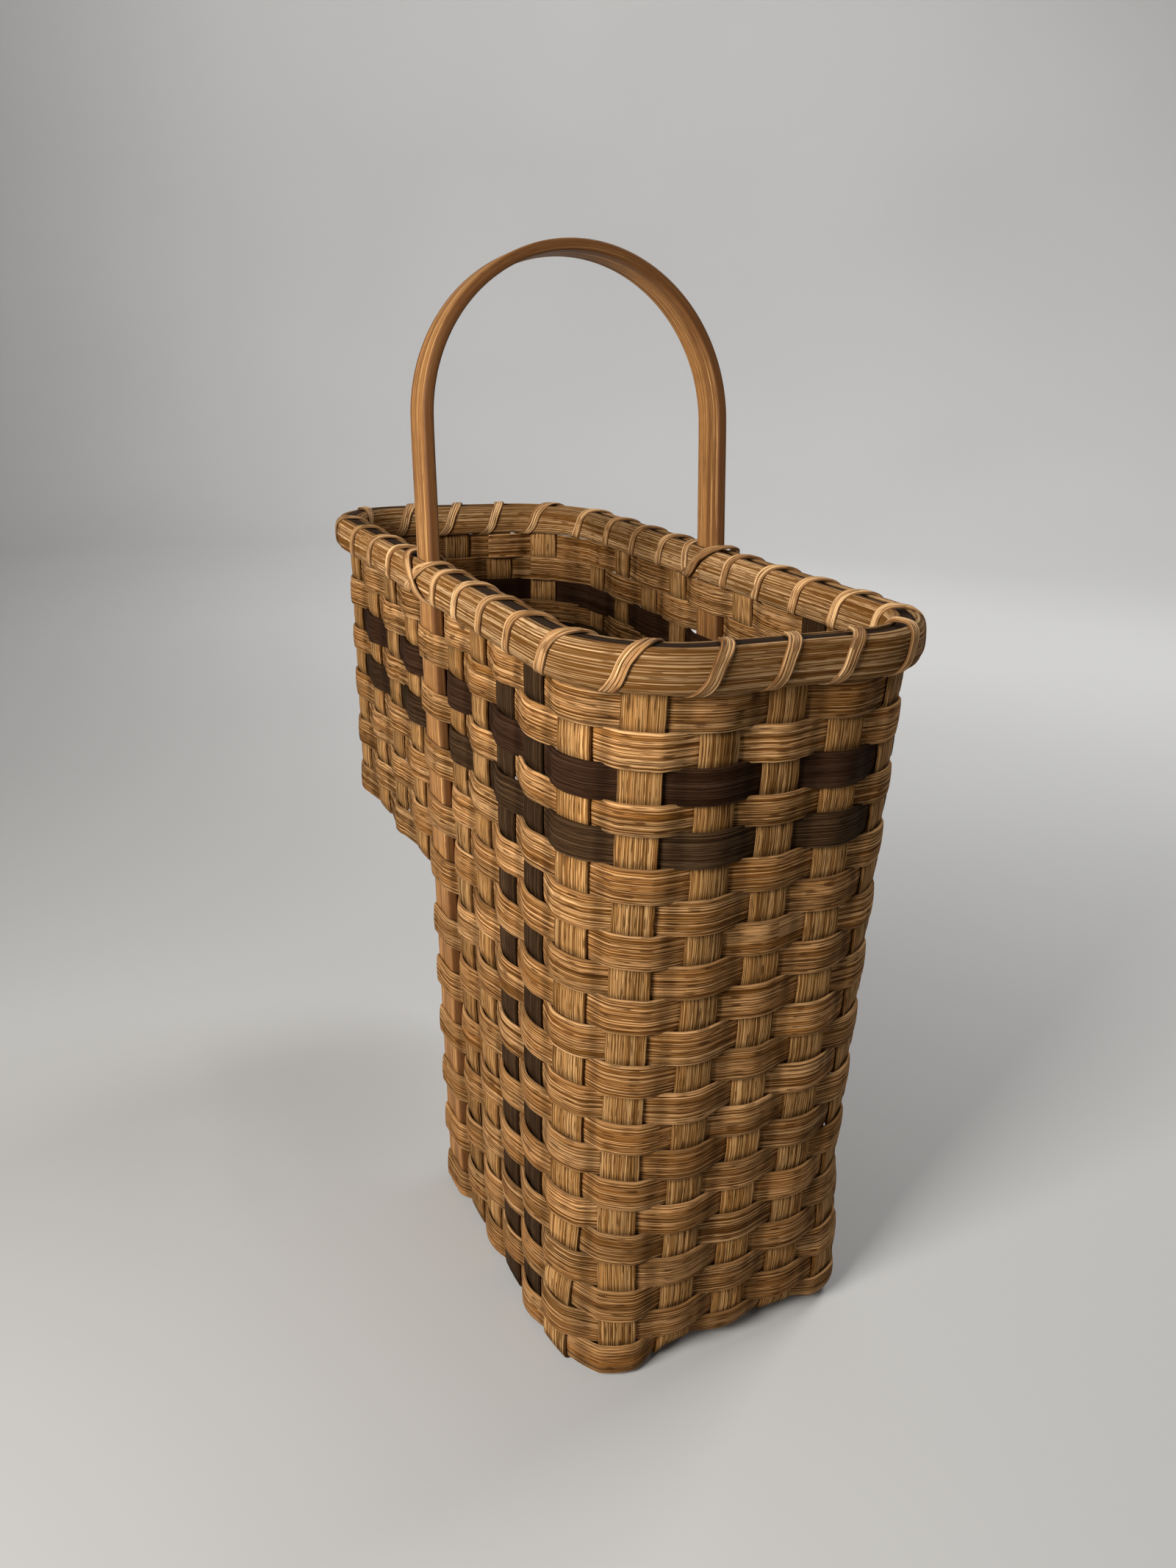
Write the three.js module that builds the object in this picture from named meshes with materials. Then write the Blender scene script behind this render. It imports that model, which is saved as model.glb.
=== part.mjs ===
import * as THREE from 'three';

// Stair basket: a plain-woven splint basket with a leg that stands on one stair and a deep shelf
// that rests on the stair above. Sizes are in millimetres, +Z is up and +X points to the tall,
// narrow front. The basket is worked out with x = 0 in the front wall and z = 0 on the stair.

// Splints
const STAKE_WIDTH = 19;
const STAKE_THICKNESS = 1.6;
const WEAVER_WIDTH = 15.6;
const NARROW_WEAVER_WIDTH = 12.4;
const WEAVER_THICKNESS = 1.4;
const CLEARANCE = 0.3;
const ROW_GAP = 0.6;

// Rows, counted down from the rim
const BODY_ROWS = 10;
const LEG_ROWS = 12;
const NARROW_ROWS = [4];
const DARK_ROWS = [3, 5];
const STEP_GAP = 2.4;
const BASE_BEND = 2;
const SHELF_BEND = 1.2;

// Plan of the walls, measured between stakes at the top row
const BODY_LENGTH = 412;
const HALF_WIDTH = 88.3;
const CORNER_RADIUS = 52;
const SIDE_LEAN = 0.0063;
const END_LEAN = 0.053;

// Stakes: across the end walls, and along the long sides from the front wall back
const STEPS = [-2, -1, 0, 1, 2];
const SIDE_MARGIN = 23.3;
const FIRST_SIDE_STAKE = 32.9;
const LEG_PITCH = 34.3;
const HANDLE_PITCH = 36.6;
const END_MARGIN = 53.3;
const LEG_STAKES = 5;
const SHELF_STAKES = 4;
const DARK_STAKES = [1, 2];
const LEAN_START = 15;

// Handle: one bent hoop whose legs lean back with the stakes beside them
const HANDLE_WIDTH = 23;
const HANDLE_THICKNESS = 6;
const HANDLE_EASE = 1.3;
const HANDLE_LEAN = 0.1162;
const HANDLE_RISE = 162;
const HANDLE_CORNER = 12;
const HANDLE_ARCH_STEPS = 14;
const HANDLE_CORNER_STEPS = 3;
const LEG_BACK_SETBACK = 16;

// Rim: a flat-oval strip on each side, a dark filler between them and one lashing round all three
const RIM_WIDTH = 19.5;
const RIM_THICKNESS = 5;
const RIM_EDGE = 4;
const FILLER_HEIGHT = 5;
const FILLER_PROUD = 0.6;
const LASHING_WIDTH = 6;
const LASHING_THICKNESS = 1;
const CORNER_STEPS = 8;
const SHORTEST_RUN = 1;

// Heights that follow from the splints
const LOW = STAKE_THICKNESS / 2;
const HIGH = LOW + STAKE_THICKNESS + CLEARANCE;
const ROWS = BODY_ROWS + LEG_ROWS;
const rowHeights = stackRows();
const TOP_ROW = rowHeights[1];
const SHELF_LOW = rowHeights[BODY_ROWS] - rowWidth(BODY_ROWS) / 2 - SHELF_BEND - 2 * CLEARANCE;
const SHELF_HIGH = SHELF_LOW + HIGH - LOW;
const RIM_BASE = TOP_ROW + rowWidth(1) / 2 + LASHING_THICKNESS + 2 * CLEARANCE;
const RIM_TOP = RIM_BASE + RIM_WIDTH;
const RIM_MIDDLE = (RIM_BASE + RIM_TOP) / 2;
const FILLER_TOP = RIM_TOP + FILLER_PROUD;
const STAKE_TOP = FILLER_TOP - FILLER_HEIGHT - CLEARANCE;
const RIM_SPREAD = HANDLE_THICKNESS / 2 + 2 * CLEARANCE;
const FRONT_PITCH = (HALF_WIDTH - SIDE_MARGIN) / Math.max(...STEPS);
const HANDLE_OFFSET = FIRST_SIDE_STAKE + (LEG_STAKES - 1) * LEG_PITCH + HANDLE_PITCH;
const SHELF_PITCH = (BODY_LENGTH - END_MARGIN - HANDLE_OFFSET) / SHELF_STAKES;
const HALF_STAKE = STAKE_WIDTH / 2;

function splintMaterial(colour, roughness) {
  return new THREE.MeshStandardMaterial({ color: colour, roughness, metalness: 0 });
}

const naturalReed = splintMaterial('#b3874c', 0.72);
const darkReed = splintMaterial('#3d2d24', 0.7);
const handleOak = splintMaterial('#a06a3a', 0.55);
const lashingCane = splintMaterial('#bd9060', 0.6);

function rowWidth(row) {
  return row === 0 || NARROW_ROWS.includes(row) ? NARROW_WEAVER_WIDTH : WEAVER_WIDTH;
}

// Height of the middle of every row. Row 0 is the hidden one that the rim strips cover.
function stackRows() {
  const heights = [];
  let edge = LOW + BASE_BEND + 2 * CLEARANCE;
  for (let row = ROWS; row >= 1; row -= 1) {
    heights[row] = edge + rowWidth(row) / 2;
    edge += rowWidth(row) + ROW_GAP + (row === BODY_ROWS + 1 ? STEP_GAP : 0);
  }
  heights[0] = edge - ROW_GAP + LASHING_THICKNESS + 2 * CLEARANCE + rowWidth(0) / 2;
  return heights;
}

function halfWidthAt(z) {
  return HALF_WIDTH - SIDE_LEAN * (TOP_ROW - z);
}

// The walls' outline at one height is a rectangle with round corners. Its distance s runs
// counterclockwise from the middle of the front wall, and offset moves the point outwards.
function outlineAt(z) {
  const half = halfWidthAt(z);
  const length = BODY_LENGTH - END_LEAN * (TOP_ROW - z);
  const flat = half - CORNER_RADIUS;
  const quarter = CORNER_RADIUS * Math.PI / 2;
  const side = length - 2 * CORNER_RADIUS;
  const halfGirth = 2 * flat + 2 * quarter + side;

  function round(excess) {
    return CORNER_RADIUS * Math.asin(Math.max(0, excess) / CORNER_RADIUS);
  }
  function alongEnd(y) {
    return Math.sign(y) * (Math.min(Math.abs(y), flat) + round(Math.abs(y) - flat));
  }
  function alongSide(fromFront) {
    const straight = THREE.MathUtils.clamp(fromFront - CORNER_RADIUS, 0, side);
    return flat + quarter + straight - round(CORNER_RADIUS - fromFront)
      + round(fromFront - CORNER_RADIUS - side);
  }
  function arc(centreX, centreY, angle, offset) {
    const reach = CORNER_RADIUS + offset;
    return { x: centreX + reach * Math.cos(angle), y: centreY + reach * Math.sin(angle), angle };
  }
  function halfPoint(s, offset) {
    if (s <= flat) return { x: offset, y: s, angle: 0 };
    if (s <= flat + quarter) {
      return arc(-CORNER_RADIUS, flat, (s - flat) / CORNER_RADIUS, offset);
    }
    if (s <= flat + quarter + side) {
      const back = CORNER_RADIUS + s - flat - quarter;
      return { x: -back, y: half + offset, angle: Math.PI / 2 };
    }
    if (s <= flat + 2 * quarter + side) {
      const turn = (s - flat - side) / CORNER_RADIUS;
      return arc(CORNER_RADIUS - length, flat, turn, offset);
    }
    return { x: -length - offset, y: halfGirth - s, angle: Math.PI };
  }
  function point(s, offset = 0) {
    const girth = 2 * halfGirth;
    const wrapped = ((s % girth) + girth) % girth;
    const mirrored = wrapped > halfGirth;
    const p = halfPoint(mirrored ? girth - wrapped : wrapped, offset);
    return mirrored ? { x: p.x, y: -p.y, angle: -p.angle } : p;
  }
  return { alongEnd, alongSide, point, girth: 2 * halfGirth, flat, quarter, side };
}

// An upright is the part of a stake that stands in a wall: a straight line between two points of
// the outline. Odd uprights show on odd rows, even uprights on even rows.
function upright(odd, low, high, width, thickness) {
  const normal = low.normal.clone().add(high.normal).normalize();
  const along = new THREE.Vector3(-normal.y, normal.x, 0);
  const rise = high.at.clone().sub(low.at);
  rise.divideScalar(rise.z);
  return {
    odd,
    normal,
    along,
    sway: Math.abs(rise.dot(along)),
    up: rise.addScaledVector(along, -rise.dot(along)).normalize(),
    width,
    thickness,
    at(z) {
      return low.at.clone().lerp(high.at, (z - low.at.z) / (high.at.z - low.at.z));
    },
  };
}

// A flat stake is a chord of the round corner: half the chord's rise lies on each side of it.
function onOutline(outline, s, z) {
  const [before, middle, after] = [-HALF_STAKE, 0, HALF_STAKE].map((step) => {
    const p = outline.point(s + step);
    return new THREE.Vector3(p.x, p.y, z);
  });
  const chord = after.clone().sub(before).normalize();
  const at = before.add(after).divideScalar(2).add(middle).divideScalar(2);
  return { at, normal: new THREE.Vector3(chord.y, -chord.x, 0) };
}

function endUpright(step, fromZ, atFront) {
  const ends = [fromZ, STAKE_TOP].map((z) => {
    const outline = outlineAt(z);
    const s = outline.alongEnd(step * FRONT_PITCH * halfWidthAt(z) / HALF_WIDTH);
    return onOutline(outline, atFront ? s : outline.girth / 2 - s, z);
  });
  const odd = atFront ? step % 2 === 0 : step % 2 !== 0;
  return upright(odd, ends[0], ends[1], STAKE_WIDTH, STAKE_THICKNESS);
}

// Side stakes lean back from the leg: none at the front, as the handle at the leg's back, and
// less again towards the end wall.
function leanOf(offset) {
  if (offset <= HANDLE_OFFSET) {
    return HANDLE_LEAN * (offset - LEAN_START) / (HANDLE_OFFSET - LEAN_START);
  }
  const share = (offset - HANDLE_OFFSET) / (BODY_LENGTH - HANDLE_OFFSET);
  return HANDLE_LEAN + (END_LEAN - HANDLE_LEAN) * share;
}

function fromFrontAt(offset, z) {
  return offset - leanOf(offset) * (TOP_ROW - z);
}

function sideUpright(index, offset, sign, fromZ, width, thickness) {
  const ends = [fromZ, STAKE_TOP].map((z) => {
    const outline = outlineAt(z);
    return onOutline(outline, sign * outline.alongSide(fromFrontAt(offset, z)), z);
  });
  return upright(index % 2 === 1, ends[0], ends[1], width, thickness);
}

function legBackX(z) {
  return -fromFrontAt(HANDLE_OFFSET, z) - LEG_BACK_SETBACK;
}

function legBackUpright(step) {
  const ends = [LOW, SHELF_LOW].map((z) => {
    const y = step * FRONT_PITCH * halfWidthAt(z) / HALF_WIDTH;
    return { at: new THREE.Vector3(legBackX(z), y, z), normal: new THREE.Vector3(-1, 0, 0) };
  });
  return upright(step % 2 !== 0, ends[0], ends[1], STAKE_WIDTH, STAKE_THICKNESS);
}

const sideStakes = listSideStakes();

function listSideStakes() {
  const stakes = [];
  for (let i = 0; i < LEG_STAKES; i += 1) {
    stakes.push({ index: i, offset: FIRST_SIDE_STAKE + i * LEG_PITCH, from: LOW });
  }
  stakes.push({ index: LEG_STAKES, offset: HANDLE_OFFSET, from: LOW, handle: true });
  for (let i = 1; i <= SHELF_STAKES; i += 1) {
    const offset = HANDLE_OFFSET + i * SHELF_PITCH;
    stakes.push({ index: LEG_STAKES + i, offset, from: SHELF_LOW });
  }
  for (const stake of stakes) {
    const width = stake.handle ? HANDLE_WIDTH : STAKE_WIDTH;
    const thickness = stake.handle ? HANDLE_THICKNESS : STAKE_THICKNESS;
    stake.left = sideUpright(stake.index, stake.offset, 1, stake.from, width, thickness);
    stake.right = sideUpright(stake.index, stake.offset, -1, stake.from, width, thickness);
  }
  return stakes;
}

const frontUprights = STEPS.map((step) => endUpright(step, LOW, true));
const endUprights = STEPS.map((step) => endUpright(step, SHELF_LOW, false));
const legBackUprights = STEPS.map((step) => legBackUpright(step));
const legSideStakes = sideStakes.slice(0, LEG_STAKES + 1);
const handleStake = sideStakes[LEG_STAKES];

const bodyRing = [
  ...frontUprights,
  ...sideStakes.map((stake) => stake.left),
  ...[...endUprights].reverse(),
  ...[...sideStakes].reverse().map((stake) => stake.right),
];
const legRing = [
  ...frontUprights,
  ...legSideStakes.map((stake) => stake.left),
  ...[...legBackUprights].reverse(),
  ...[...legSideStakes].reverse().map((stake) => stake.right),
];

// Carries a section along stations. Each station has a place and the direction of the section's
// width; the direction of its thickness is square to the path and mitred at every bend.
function loft(stations, section, closed) {
  const count = stations.length;
  const positions = [];
  for (let i = 0; i < count; i += 1) {
    const { at, across } = stations[i];
    const before = stations[closed ? (i + count - 1) % count : Math.max(i - 1, 0)].at;
    const after = stations[closed ? (i + 1) % count : Math.min(i + 1, count - 1)].at;
    const normals = [at.clone().sub(before), after.clone().sub(at)]
      .filter((run) => run.lengthSq() > 0)
      .map((run) => run.cross(across).normalize());
    const first = normals[0];
    const last = normals[normals.length - 1];
    const mitre = first.clone().add(last).divideScalar(1 + first.dot(last));
    for (const [wide, thick] of section) {
      const corner = at.clone().addScaledVector(across, wide).addScaledVector(mitre, thick);
      positions.push(corner.x, corner.y, corner.z);
    }
  }
  const sides = section.length;
  const indices = [];
  for (let i = 0; i < (closed ? count : count - 1); i += 1) {
    const here = i * sides;
    const next = ((i + 1) % count) * sides;
    for (let j = 0; j < sides; j += 1) {
      const k = (j + 1) % sides;
      indices.push(here + j, here + k, next + k, here + j, next + k, next + j);
    }
  }
  if (!closed) {
    const last = (count - 1) * sides;
    for (let j = 1; j < sides - 1; j += 1) {
      indices.push(0, j + 1, j, last, last + j, last + j + 1);
    }
  }
  const geometry = new THREE.BufferGeometry();
  geometry.setAttribute('position', new THREE.Float32BufferAttribute(positions, 3));
  geometry.setIndex(indices);
  geometry.computeVertexNormals();
  return geometry;
}

function flatSection(width, thickness) {
  const w = width / 2;
  const t = thickness / 2;
  return [[w, t], [-w, t], [-w, -t], [w, -t]];
}

function station(x, y, z, acrossX, acrossY, acrossZ) {
  return {
    at: new THREE.Vector3(x, y, z),
    across: new THREE.Vector3(acrossX, acrossY, acrossZ).normalize(),
  };
}

const basket = new THREE.Group();

function addPart(name, geometry, material) {
  const part = new THREE.Mesh(geometry, material);
  part.name = name;
  basket.add(part);
}

// A weaver is a closed hoop that lies flat over each upright, outside it or inside it by turns,
// and slants through the wall in the gap between two uprights.
function weaverStations(ring, row) {
  const z = rowHeights[row];
  const stations = [];
  ring.forEach((stake, i) => {
    const outside = stake.odd === (row % 2 === 0);
    const lift = (stake.thickness + WEAVER_THICKNESS) / 2 + CLEARANCE;
    const out = outside ? lift : -lift;
    const reach = stake.width / 2 + stake.sway * rowWidth(row) / 2 + WEAVER_THICKNESS / 2;
    for (const side of [-1, 1]) {
      const at = stake.at(z).addScaledVector(stake.along, side * reach);
      stations.push({ at: at.addScaledVector(stake.normal, out), across: stake.up });
    }
  });
  return stations;
}

function addWeavers() {
  for (let row = 1; row <= ROWS; row += 1) {
    const ring = row <= BODY_ROWS ? bodyRing : legRing;
    const material = DARK_ROWS.includes(row) ? darkReed : naturalReed;
    const section = flatSection(rowWidth(row), WEAVER_THICKNESS);
    const name = `weaver_${String(row).padStart(2, '0')}`;
    addPart(name, loft(weaverStations(ring, row), section, true), material);
  }
}

// Row 0 lies between the rim strips. The handle fills the space there, so the row is in two
// lengths that butt against the handle's legs.
function addRimWeavers() {
  const toLeft = bodyRing.indexOf(handleStake.left);
  const toRight = bodyRing.indexOf(handleStake.right);
  const front = [...bodyRing.slice(toRight + 1), ...bodyRing.slice(0, toLeft)];
  const rear = bodyRing.slice(toLeft + 1, toRight);
  const section = flatSection(rowWidth(0), WEAVER_THICKNESS);
  const butt = (leg, side) => {
    const reach = side * (HANDLE_WIDTH / 2 + leg.sway * rowWidth(0) / 2 + CLEARANCE);
    return { at: leg.at(rowHeights[0]).addScaledVector(leg.along, reach), across: leg.up };
  };
  const { left, right } = handleStake;
  const frontRun = [butt(right, 1), ...weaverStations(front, 0), butt(left, -1)];
  const rearRun = [butt(left, 1), ...weaverStations(rear, 0), butt(right, -1)];
  addPart('rim_weaver_front', loft(frontRun, section, false), naturalReed);
  addPart('rim_weaver_rear', loft(rearRun, section, false), naturalReed);
}

// Stations where a stake turns from a wall into the base or the shelf: down the wall to its foot,
// then inwards in two equal steps, the second one flat.
function turnIn(wall, across, inwards, level, bend) {
  const foot = wall.at(level + bend);
  const stations = [{ at: wall.at(STAKE_TOP), across }, { at: foot, across }];
  for (const steps of [1, 2]) {
    const at = foot.clone().addScaledVector(inwards, steps * bend).setZ(level);
    const square = new THREE.Vector3(Math.abs(inwards.y), Math.abs(inwards.x), 0);
    stations.push({ at, across: square.add(across).normalize() });
  }
  return stations;
}

// A long stake runs down the front wall, under the leg, up the leg's back, out under the shelf
// and up the end wall.
function longStakeStations(i) {
  const step = STEPS[i];
  const even = step % 2 === 0;
  const front = frontUprights[i];
  const back = legBackUprights[i];
  const end = endUprights[i];
  const backwards = new THREE.Vector3(-1, 0, 0);
  const stations = turnIn(front, front.along, backwards, LOW, BASE_BEND);
  const baseY = back.at(LOW).y;
  for (const stake of legSideStakes) {
    const x = -fromFrontAt(stake.offset, LOW);
    const high = !stake.handle && (even ? stake.index % 2 === 1 : stake.index % 2 === 0);
    const reach = stake.handle ? HANDLE_WIDTH / 2 : HALF_STAKE + CLEARANCE;
    for (const side of [1, -1]) {
      stations.push(station(x + side * reach, baseY, high ? HIGH : LOW, 0, 1, 0));
    }
  }
  const heel = back.at(LOW + BASE_BEND);
  stations.push(station(heel.x + BASE_BEND, heel.y, LOW, 0, 1, 0));
  stations.push(station(heel.x, heel.y, heel.z, 0, 1, 0));
  const corner = back.at(SHELF_LOW);
  stations.push(station(corner.x, corner.y, corner.z, 0, 1, 0));
  for (const stake of sideStakes.slice(LEG_STAKES + 1)) {
    const x = -fromFrontAt(stake.offset, SHELF_LOW);
    const high = even ? stake.index % 2 === 1 : stake.index % 2 === 0;
    const reach = HALF_STAKE + CLEARANCE;
    for (const side of [1, -1]) {
      stations.push(station(x + side * reach, corner.y, high ? SHELF_HIGH : SHELF_LOW, 0, 1, 0));
    }
  }
  const forwards = backwards.clone().negate();
  const rise = turnIn(end, end.along.clone().negate(), forwards, SHELF_LOW, SHELF_BEND);
  return [...stations, ...rise.reverse()];
}

// A cross stake runs down one long side, under the leg or the shelf and up the other side.
function crossStakeStations(stake) {
  const onShelf = stake.from === SHELF_LOW;
  const low = onShelf ? SHELF_LOW : LOW;
  const high = onShelf ? SHELF_HIGH : HIGH;
  const bend = onShelf ? SHELF_BEND : BASE_BEND;
  const x = -fromFrontAt(stake.offset, low);
  const half = (side) => {
    const wall = side > 0 ? stake.left : stake.right;
    const across = wall.along.clone().multiplyScalar(-side);
    const run = turnIn(wall, across, new THREE.Vector3(0, -side, 0), low, bend);
    return side > 0 ? run : run.reverse();
  };
  const bed = [];
  for (const step of [...STEPS].reverse()) {
    const y = step * FRONT_PITCH * halfWidthAt(low) / HALF_WIDTH;
    const stakeHigh = step % 2 === 0 ? stake.index % 2 === 0 : stake.index % 2 === 1;
    for (const side of [1, -1]) {
      const edge = y + side * (HALF_STAKE + CLEARANCE);
      bed.push(station(x, edge, stakeHigh ? high : low, 1, 0, 0));
    }
  }
  return [...half(1), ...bed, ...half(-1)];
}

function addStakes() {
  const section = flatSection(STAKE_WIDTH, STAKE_THICKNESS);
  STEPS.forEach((step, i) => {
    addPart(`long_stake_${i + 1}`, loft(longStakeStations(i), section, false), naturalReed);
  });
  for (const stake of sideStakes.filter((each) => !each.handle)) {
    const onShelf = stake.index > LEG_STAKES;
    const name = onShelf
      ? `shelf_cross_stake_${stake.index - LEG_STAKES}`
      : `leg_cross_stake_${stake.index + 1}`;
    const material = DARK_STAKES.includes(stake.index) ? darkReed : naturalReed;
    addPart(name, loft(crossStakeStations(stake), section, false), material);
  }
}

// The handle is one hoop in a leaning plane. Its bottom bar lies on the base stakes inside the
// leg, its legs stand in the weave, and its top is a half circle.
function addHandle() {
  const slope = Math.hypot(1, HANDLE_LEAN);
  const barZ = LOW + STAKE_THICKNESS / 2 + CLEARANCE
    + (HANDLE_THICKNESS + HANDLE_WIDTH * HANDLE_LEAN) / 2;
  const archZ = RIM_TOP + HANDLE_RISE - HANDLE_THICKNESS / 2 - HALF_WIDTH;
  const footHalf = halfWidthAt(barZ);
  const across = new THREE.Vector3(1 / slope, 0, HANDLE_LEAN / slope);
  const stations = [];
  const push = (y, z) => {
    stations.push({ at: new THREE.Vector3(-fromFrontAt(HANDLE_OFFSET, z), y, z), across });
  };
  for (let i = 0; i <= HANDLE_ARCH_STEPS; i += 1) {
    const angle = Math.PI * i / HANDLE_ARCH_STEPS;
    push(-HALF_WIDTH * Math.cos(angle), archZ + HALF_WIDTH * Math.sin(angle));
  }
  push(HALF_WIDTH, TOP_ROW);
  for (const side of [1, -1]) {
    const run = [];
    for (let i = 0; i <= HANDLE_CORNER_STEPS; i += 1) {
      const angle = Math.PI / 2 * i / HANDLE_CORNER_STEPS;
      const y = footHalf - HANDLE_CORNER * (1 - Math.cos(angle));
      run.push([side * y, barZ + HANDLE_CORNER * (1 - Math.sin(angle))]);
    }
    for (const [y, z] of side > 0 ? run : run.reverse()) push(y, z);
  }
  push(-HALF_WIDTH, TOP_ROW);
  const w = HANDLE_WIDTH / 2;
  const t = HANDLE_THICKNESS / 2;
  const e = HANDLE_EASE;
  const section = [[w, t - e], [w - e, t], [e - w, t], [-w, t - e],
    [-w, e - t], [e - w, -t], [w - e, -t], [w, e - t]];
  addPart('handle_hoop', loft(stations, section, true), handleOak);
}

// Stations of a strip that follows the rim, from one distance along the outline to another.
function rimStations(fromS, toS, offset, z) {
  const outline = outlineAt(RIM_MIDDLE);
  const { flat, quarter, side, girth } = outline;
  const bends = [];
  for (const start of [flat, flat + quarter + side, -flat - quarter, -flat - 2 * quarter - side]) {
    for (let i = 0; i <= CORNER_STEPS; i += 1) bends.push(start + quarter * i / CORNER_STEPS);
  }
  const turns = bends.flatMap((s) => [s - girth, s, s + girth]);
  const stops = turns.filter((s) => s > fromS + SHORTEST_RUN && s < toS - SHORTEST_RUN);
  stops.sort((a, b) => a - b);
  return [fromS, ...stops, toS].map((s) => {
    const p = outline.point(s, offset);
    return station(p.x, p.y, z, 0, 0, 1);
  });
}

// The outer strip is one hoop. The inner strip is in two lengths that butt behind the handle's
// legs, where the lashing crosses.
function addRims() {
  const w = RIM_WIDTH / 2;
  const outer = [[w, 0], [w - RIM_EDGE, RIM_THICKNESS], [RIM_EDGE - w, RIM_THICKNESS], [-w, 0]];
  const inner = outer.map(([wide, thick]) => [-wide, -thick]);
  const { middle, girth } = handleSpan();
  const hoop = rimStations(0, girth, RIM_SPREAD, RIM_MIDDLE);
  hoop.pop();
  addPart('rim_outer', loft(hoop, outer, true), naturalReed);
  const butt = middle - CLEARANCE / 2;
  const front = rimStations(-butt, butt, -RIM_SPREAD, RIM_MIDDLE);
  const rear = rimStations(middle + CLEARANCE / 2, girth - middle - CLEARANCE / 2, -RIM_SPREAD,
    RIM_MIDDLE);
  addPart('rim_inner_front', loft(front, inner, false), naturalReed);
  addPart('rim_inner_rear', loft(rear, inner, false), naturalReed);
}

function handleSpan() {
  const outline = outlineAt(RIM_MIDDLE);
  const lean = HANDLE_LEAN * (RIM_WIDTH + FILLER_PROUD) / 2;
  const half = HANDLE_WIDTH / 2 + lean + CLEARANCE;
  const middle = outline.alongSide(fromFrontAt(HANDLE_OFFSET, RIM_MIDDLE));
  return { middle, half, girth: outline.girth };
}

function addFillers() {
  const { middle, half, girth } = handleSpan();
  const z = FILLER_TOP - FILLER_HEIGHT / 2;
  const section = flatSection(FILLER_HEIGHT, 2 * (RIM_SPREAD - CLEARANCE));
  const front = rimStations(half - middle, middle - half, 0, z);
  const rear = rimStations(middle + half, girth - middle - half, 0, z);
  addPart('rim_filler_front', loft(front, section, false), darkReed);
  addPart('rim_filler_rear', loft(rear, section, false), darkReed);
}

// One turn of the lashing, seen along the rim: how far out, how high, and how much of the way
// from its gap to the next it has come. It goes out under the rim, up the outside, over the
// filler, down the inside and back under.
function lashingTurn() {
  const skin = CLEARANCE + LASHING_THICKNESS / 2;
  const bulge = RIM_SPREAD + RIM_THICKNESS + skin + CLEARANCE;
  const under = RIM_BASE - skin;
  const over = FILLER_TOP + skin;
  const side = [
    { out: RIM_SPREAD + skin, z: under, share: 0.06 },
    { out: bulge, z: RIM_BASE + RIM_EDGE - skin / 2, share: 0.14 },
    { out: bulge, z: RIM_TOP - RIM_EDGE + skin / 2, share: 0.38 },
    { out: RIM_SPREAD, z: over, share: 0.46 },
  ];
  const back = [...side].reverse().map((stop) => ({ ...stop, out: -stop.out, share: 1 - stop.share }));
  return [...side, ...back];
}

// Middle of each gap between two stakes just under the rim, as a distance along the rim, in order
// from the gap beside the front wall's first stake.
function rimGaps() {
  const outline = outlineAt(RIM_MIDDLE);
  const places = [];
  for (const step of STEPS) places.push([outline.alongEnd(step * FRONT_PITCH), HALF_STAKE]);
  for (const stake of sideStakes) {
    const s = outline.alongSide(fromFrontAt(stake.offset, RIM_BASE));
    places.push([s, stake.left.width / 2]);
  }
  for (const step of [...STEPS].reverse()) {
    places.push([outline.girth / 2 - outline.alongEnd(step * FRONT_PITCH), HALF_STAKE]);
  }
  for (const stake of [...sideStakes].reverse()) {
    const s = outline.alongSide(fromFrontAt(stake.offset, RIM_BASE));
    places.push([outline.girth - s, stake.right.width / 2]);
  }
  return places.map(([s, half], i) => {
    const [nextS, nextHalf] = places[(i + 1) % places.length];
    const next = i + 1 < places.length ? nextS : nextS + outline.girth;
    return (s + half + next - nextHalf) / 2;
  });
}

// Each turn starts in one gap and ends in the next. At a handle leg the strand slants up across
// the leg and over the rim beyond it, comes down there, slants back up across itself and over the
// rim before the leg, and then slants down inside. So an X lies on the outside of the leg. The
// shares say how far along its way the strand is at each of the four stops of a half turn.
function lashingRoute() {
  const gaps = rimGaps();
  const { middle, half, girth } = handleSpan();
  const turn = lashingTurn();
  const up = turn.slice(0, 4);
  const down = turn.slice(4);
  const skin = LASHING_THICKNESS + CLEARANCE;
  const beside = half + LASHING_WIDTH / 2 + 2 * CLEARANCE;
  const pairHalf = (LASHING_WIDTH + CLEARANCE) / 2;
  const legs = [middle, girth - middle];
  const slantUp = [0.04, 0.2, 0.95, 1];
  const steepDown = [0, 0.05, 0.8, 1];
  const slantBack = [0, 0.2, 0.95, 1];
  const slantDown = [0, 0.05, 1, 1];
  const route = [];
  const run = (stops, shares, from, to, proud) => stops.forEach((stop, j) => {
    const raised = proud && Math.abs(stop.out) > RIM_SPREAD + RIM_THICKNESS;
    const out = stop.out + (raised ? Math.sign(stop.out) * skin : 0);
    route.push({ out, z: stop.z, s: from + (to - from) * shares[j] });
  });
  let start = gaps[0];
  gaps.forEach((gap, i) => {
    const next = i + 1 < gaps.length ? gaps[i + 1] : gaps[0] + girth;
    const leg = legs.find((s) => s > gap && s < next);
    if (leg === undefined) {
      run(turn, turn.map((stop) => stop.share), start, next, false);
      start = next;
      return;
    }
    const beyond = leg + beside;
    const before = leg - beside;
    run(up, slantUp, start, beyond, false);
    run(down, steepDown, beyond, next - pairHalf, false);
    run(up, slantBack, next - pairHalf, before, true);
    run(down, slantDown, before, next + pairHalf, true);
    start = next + pairHalf;
  });
  return route;
}

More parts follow.
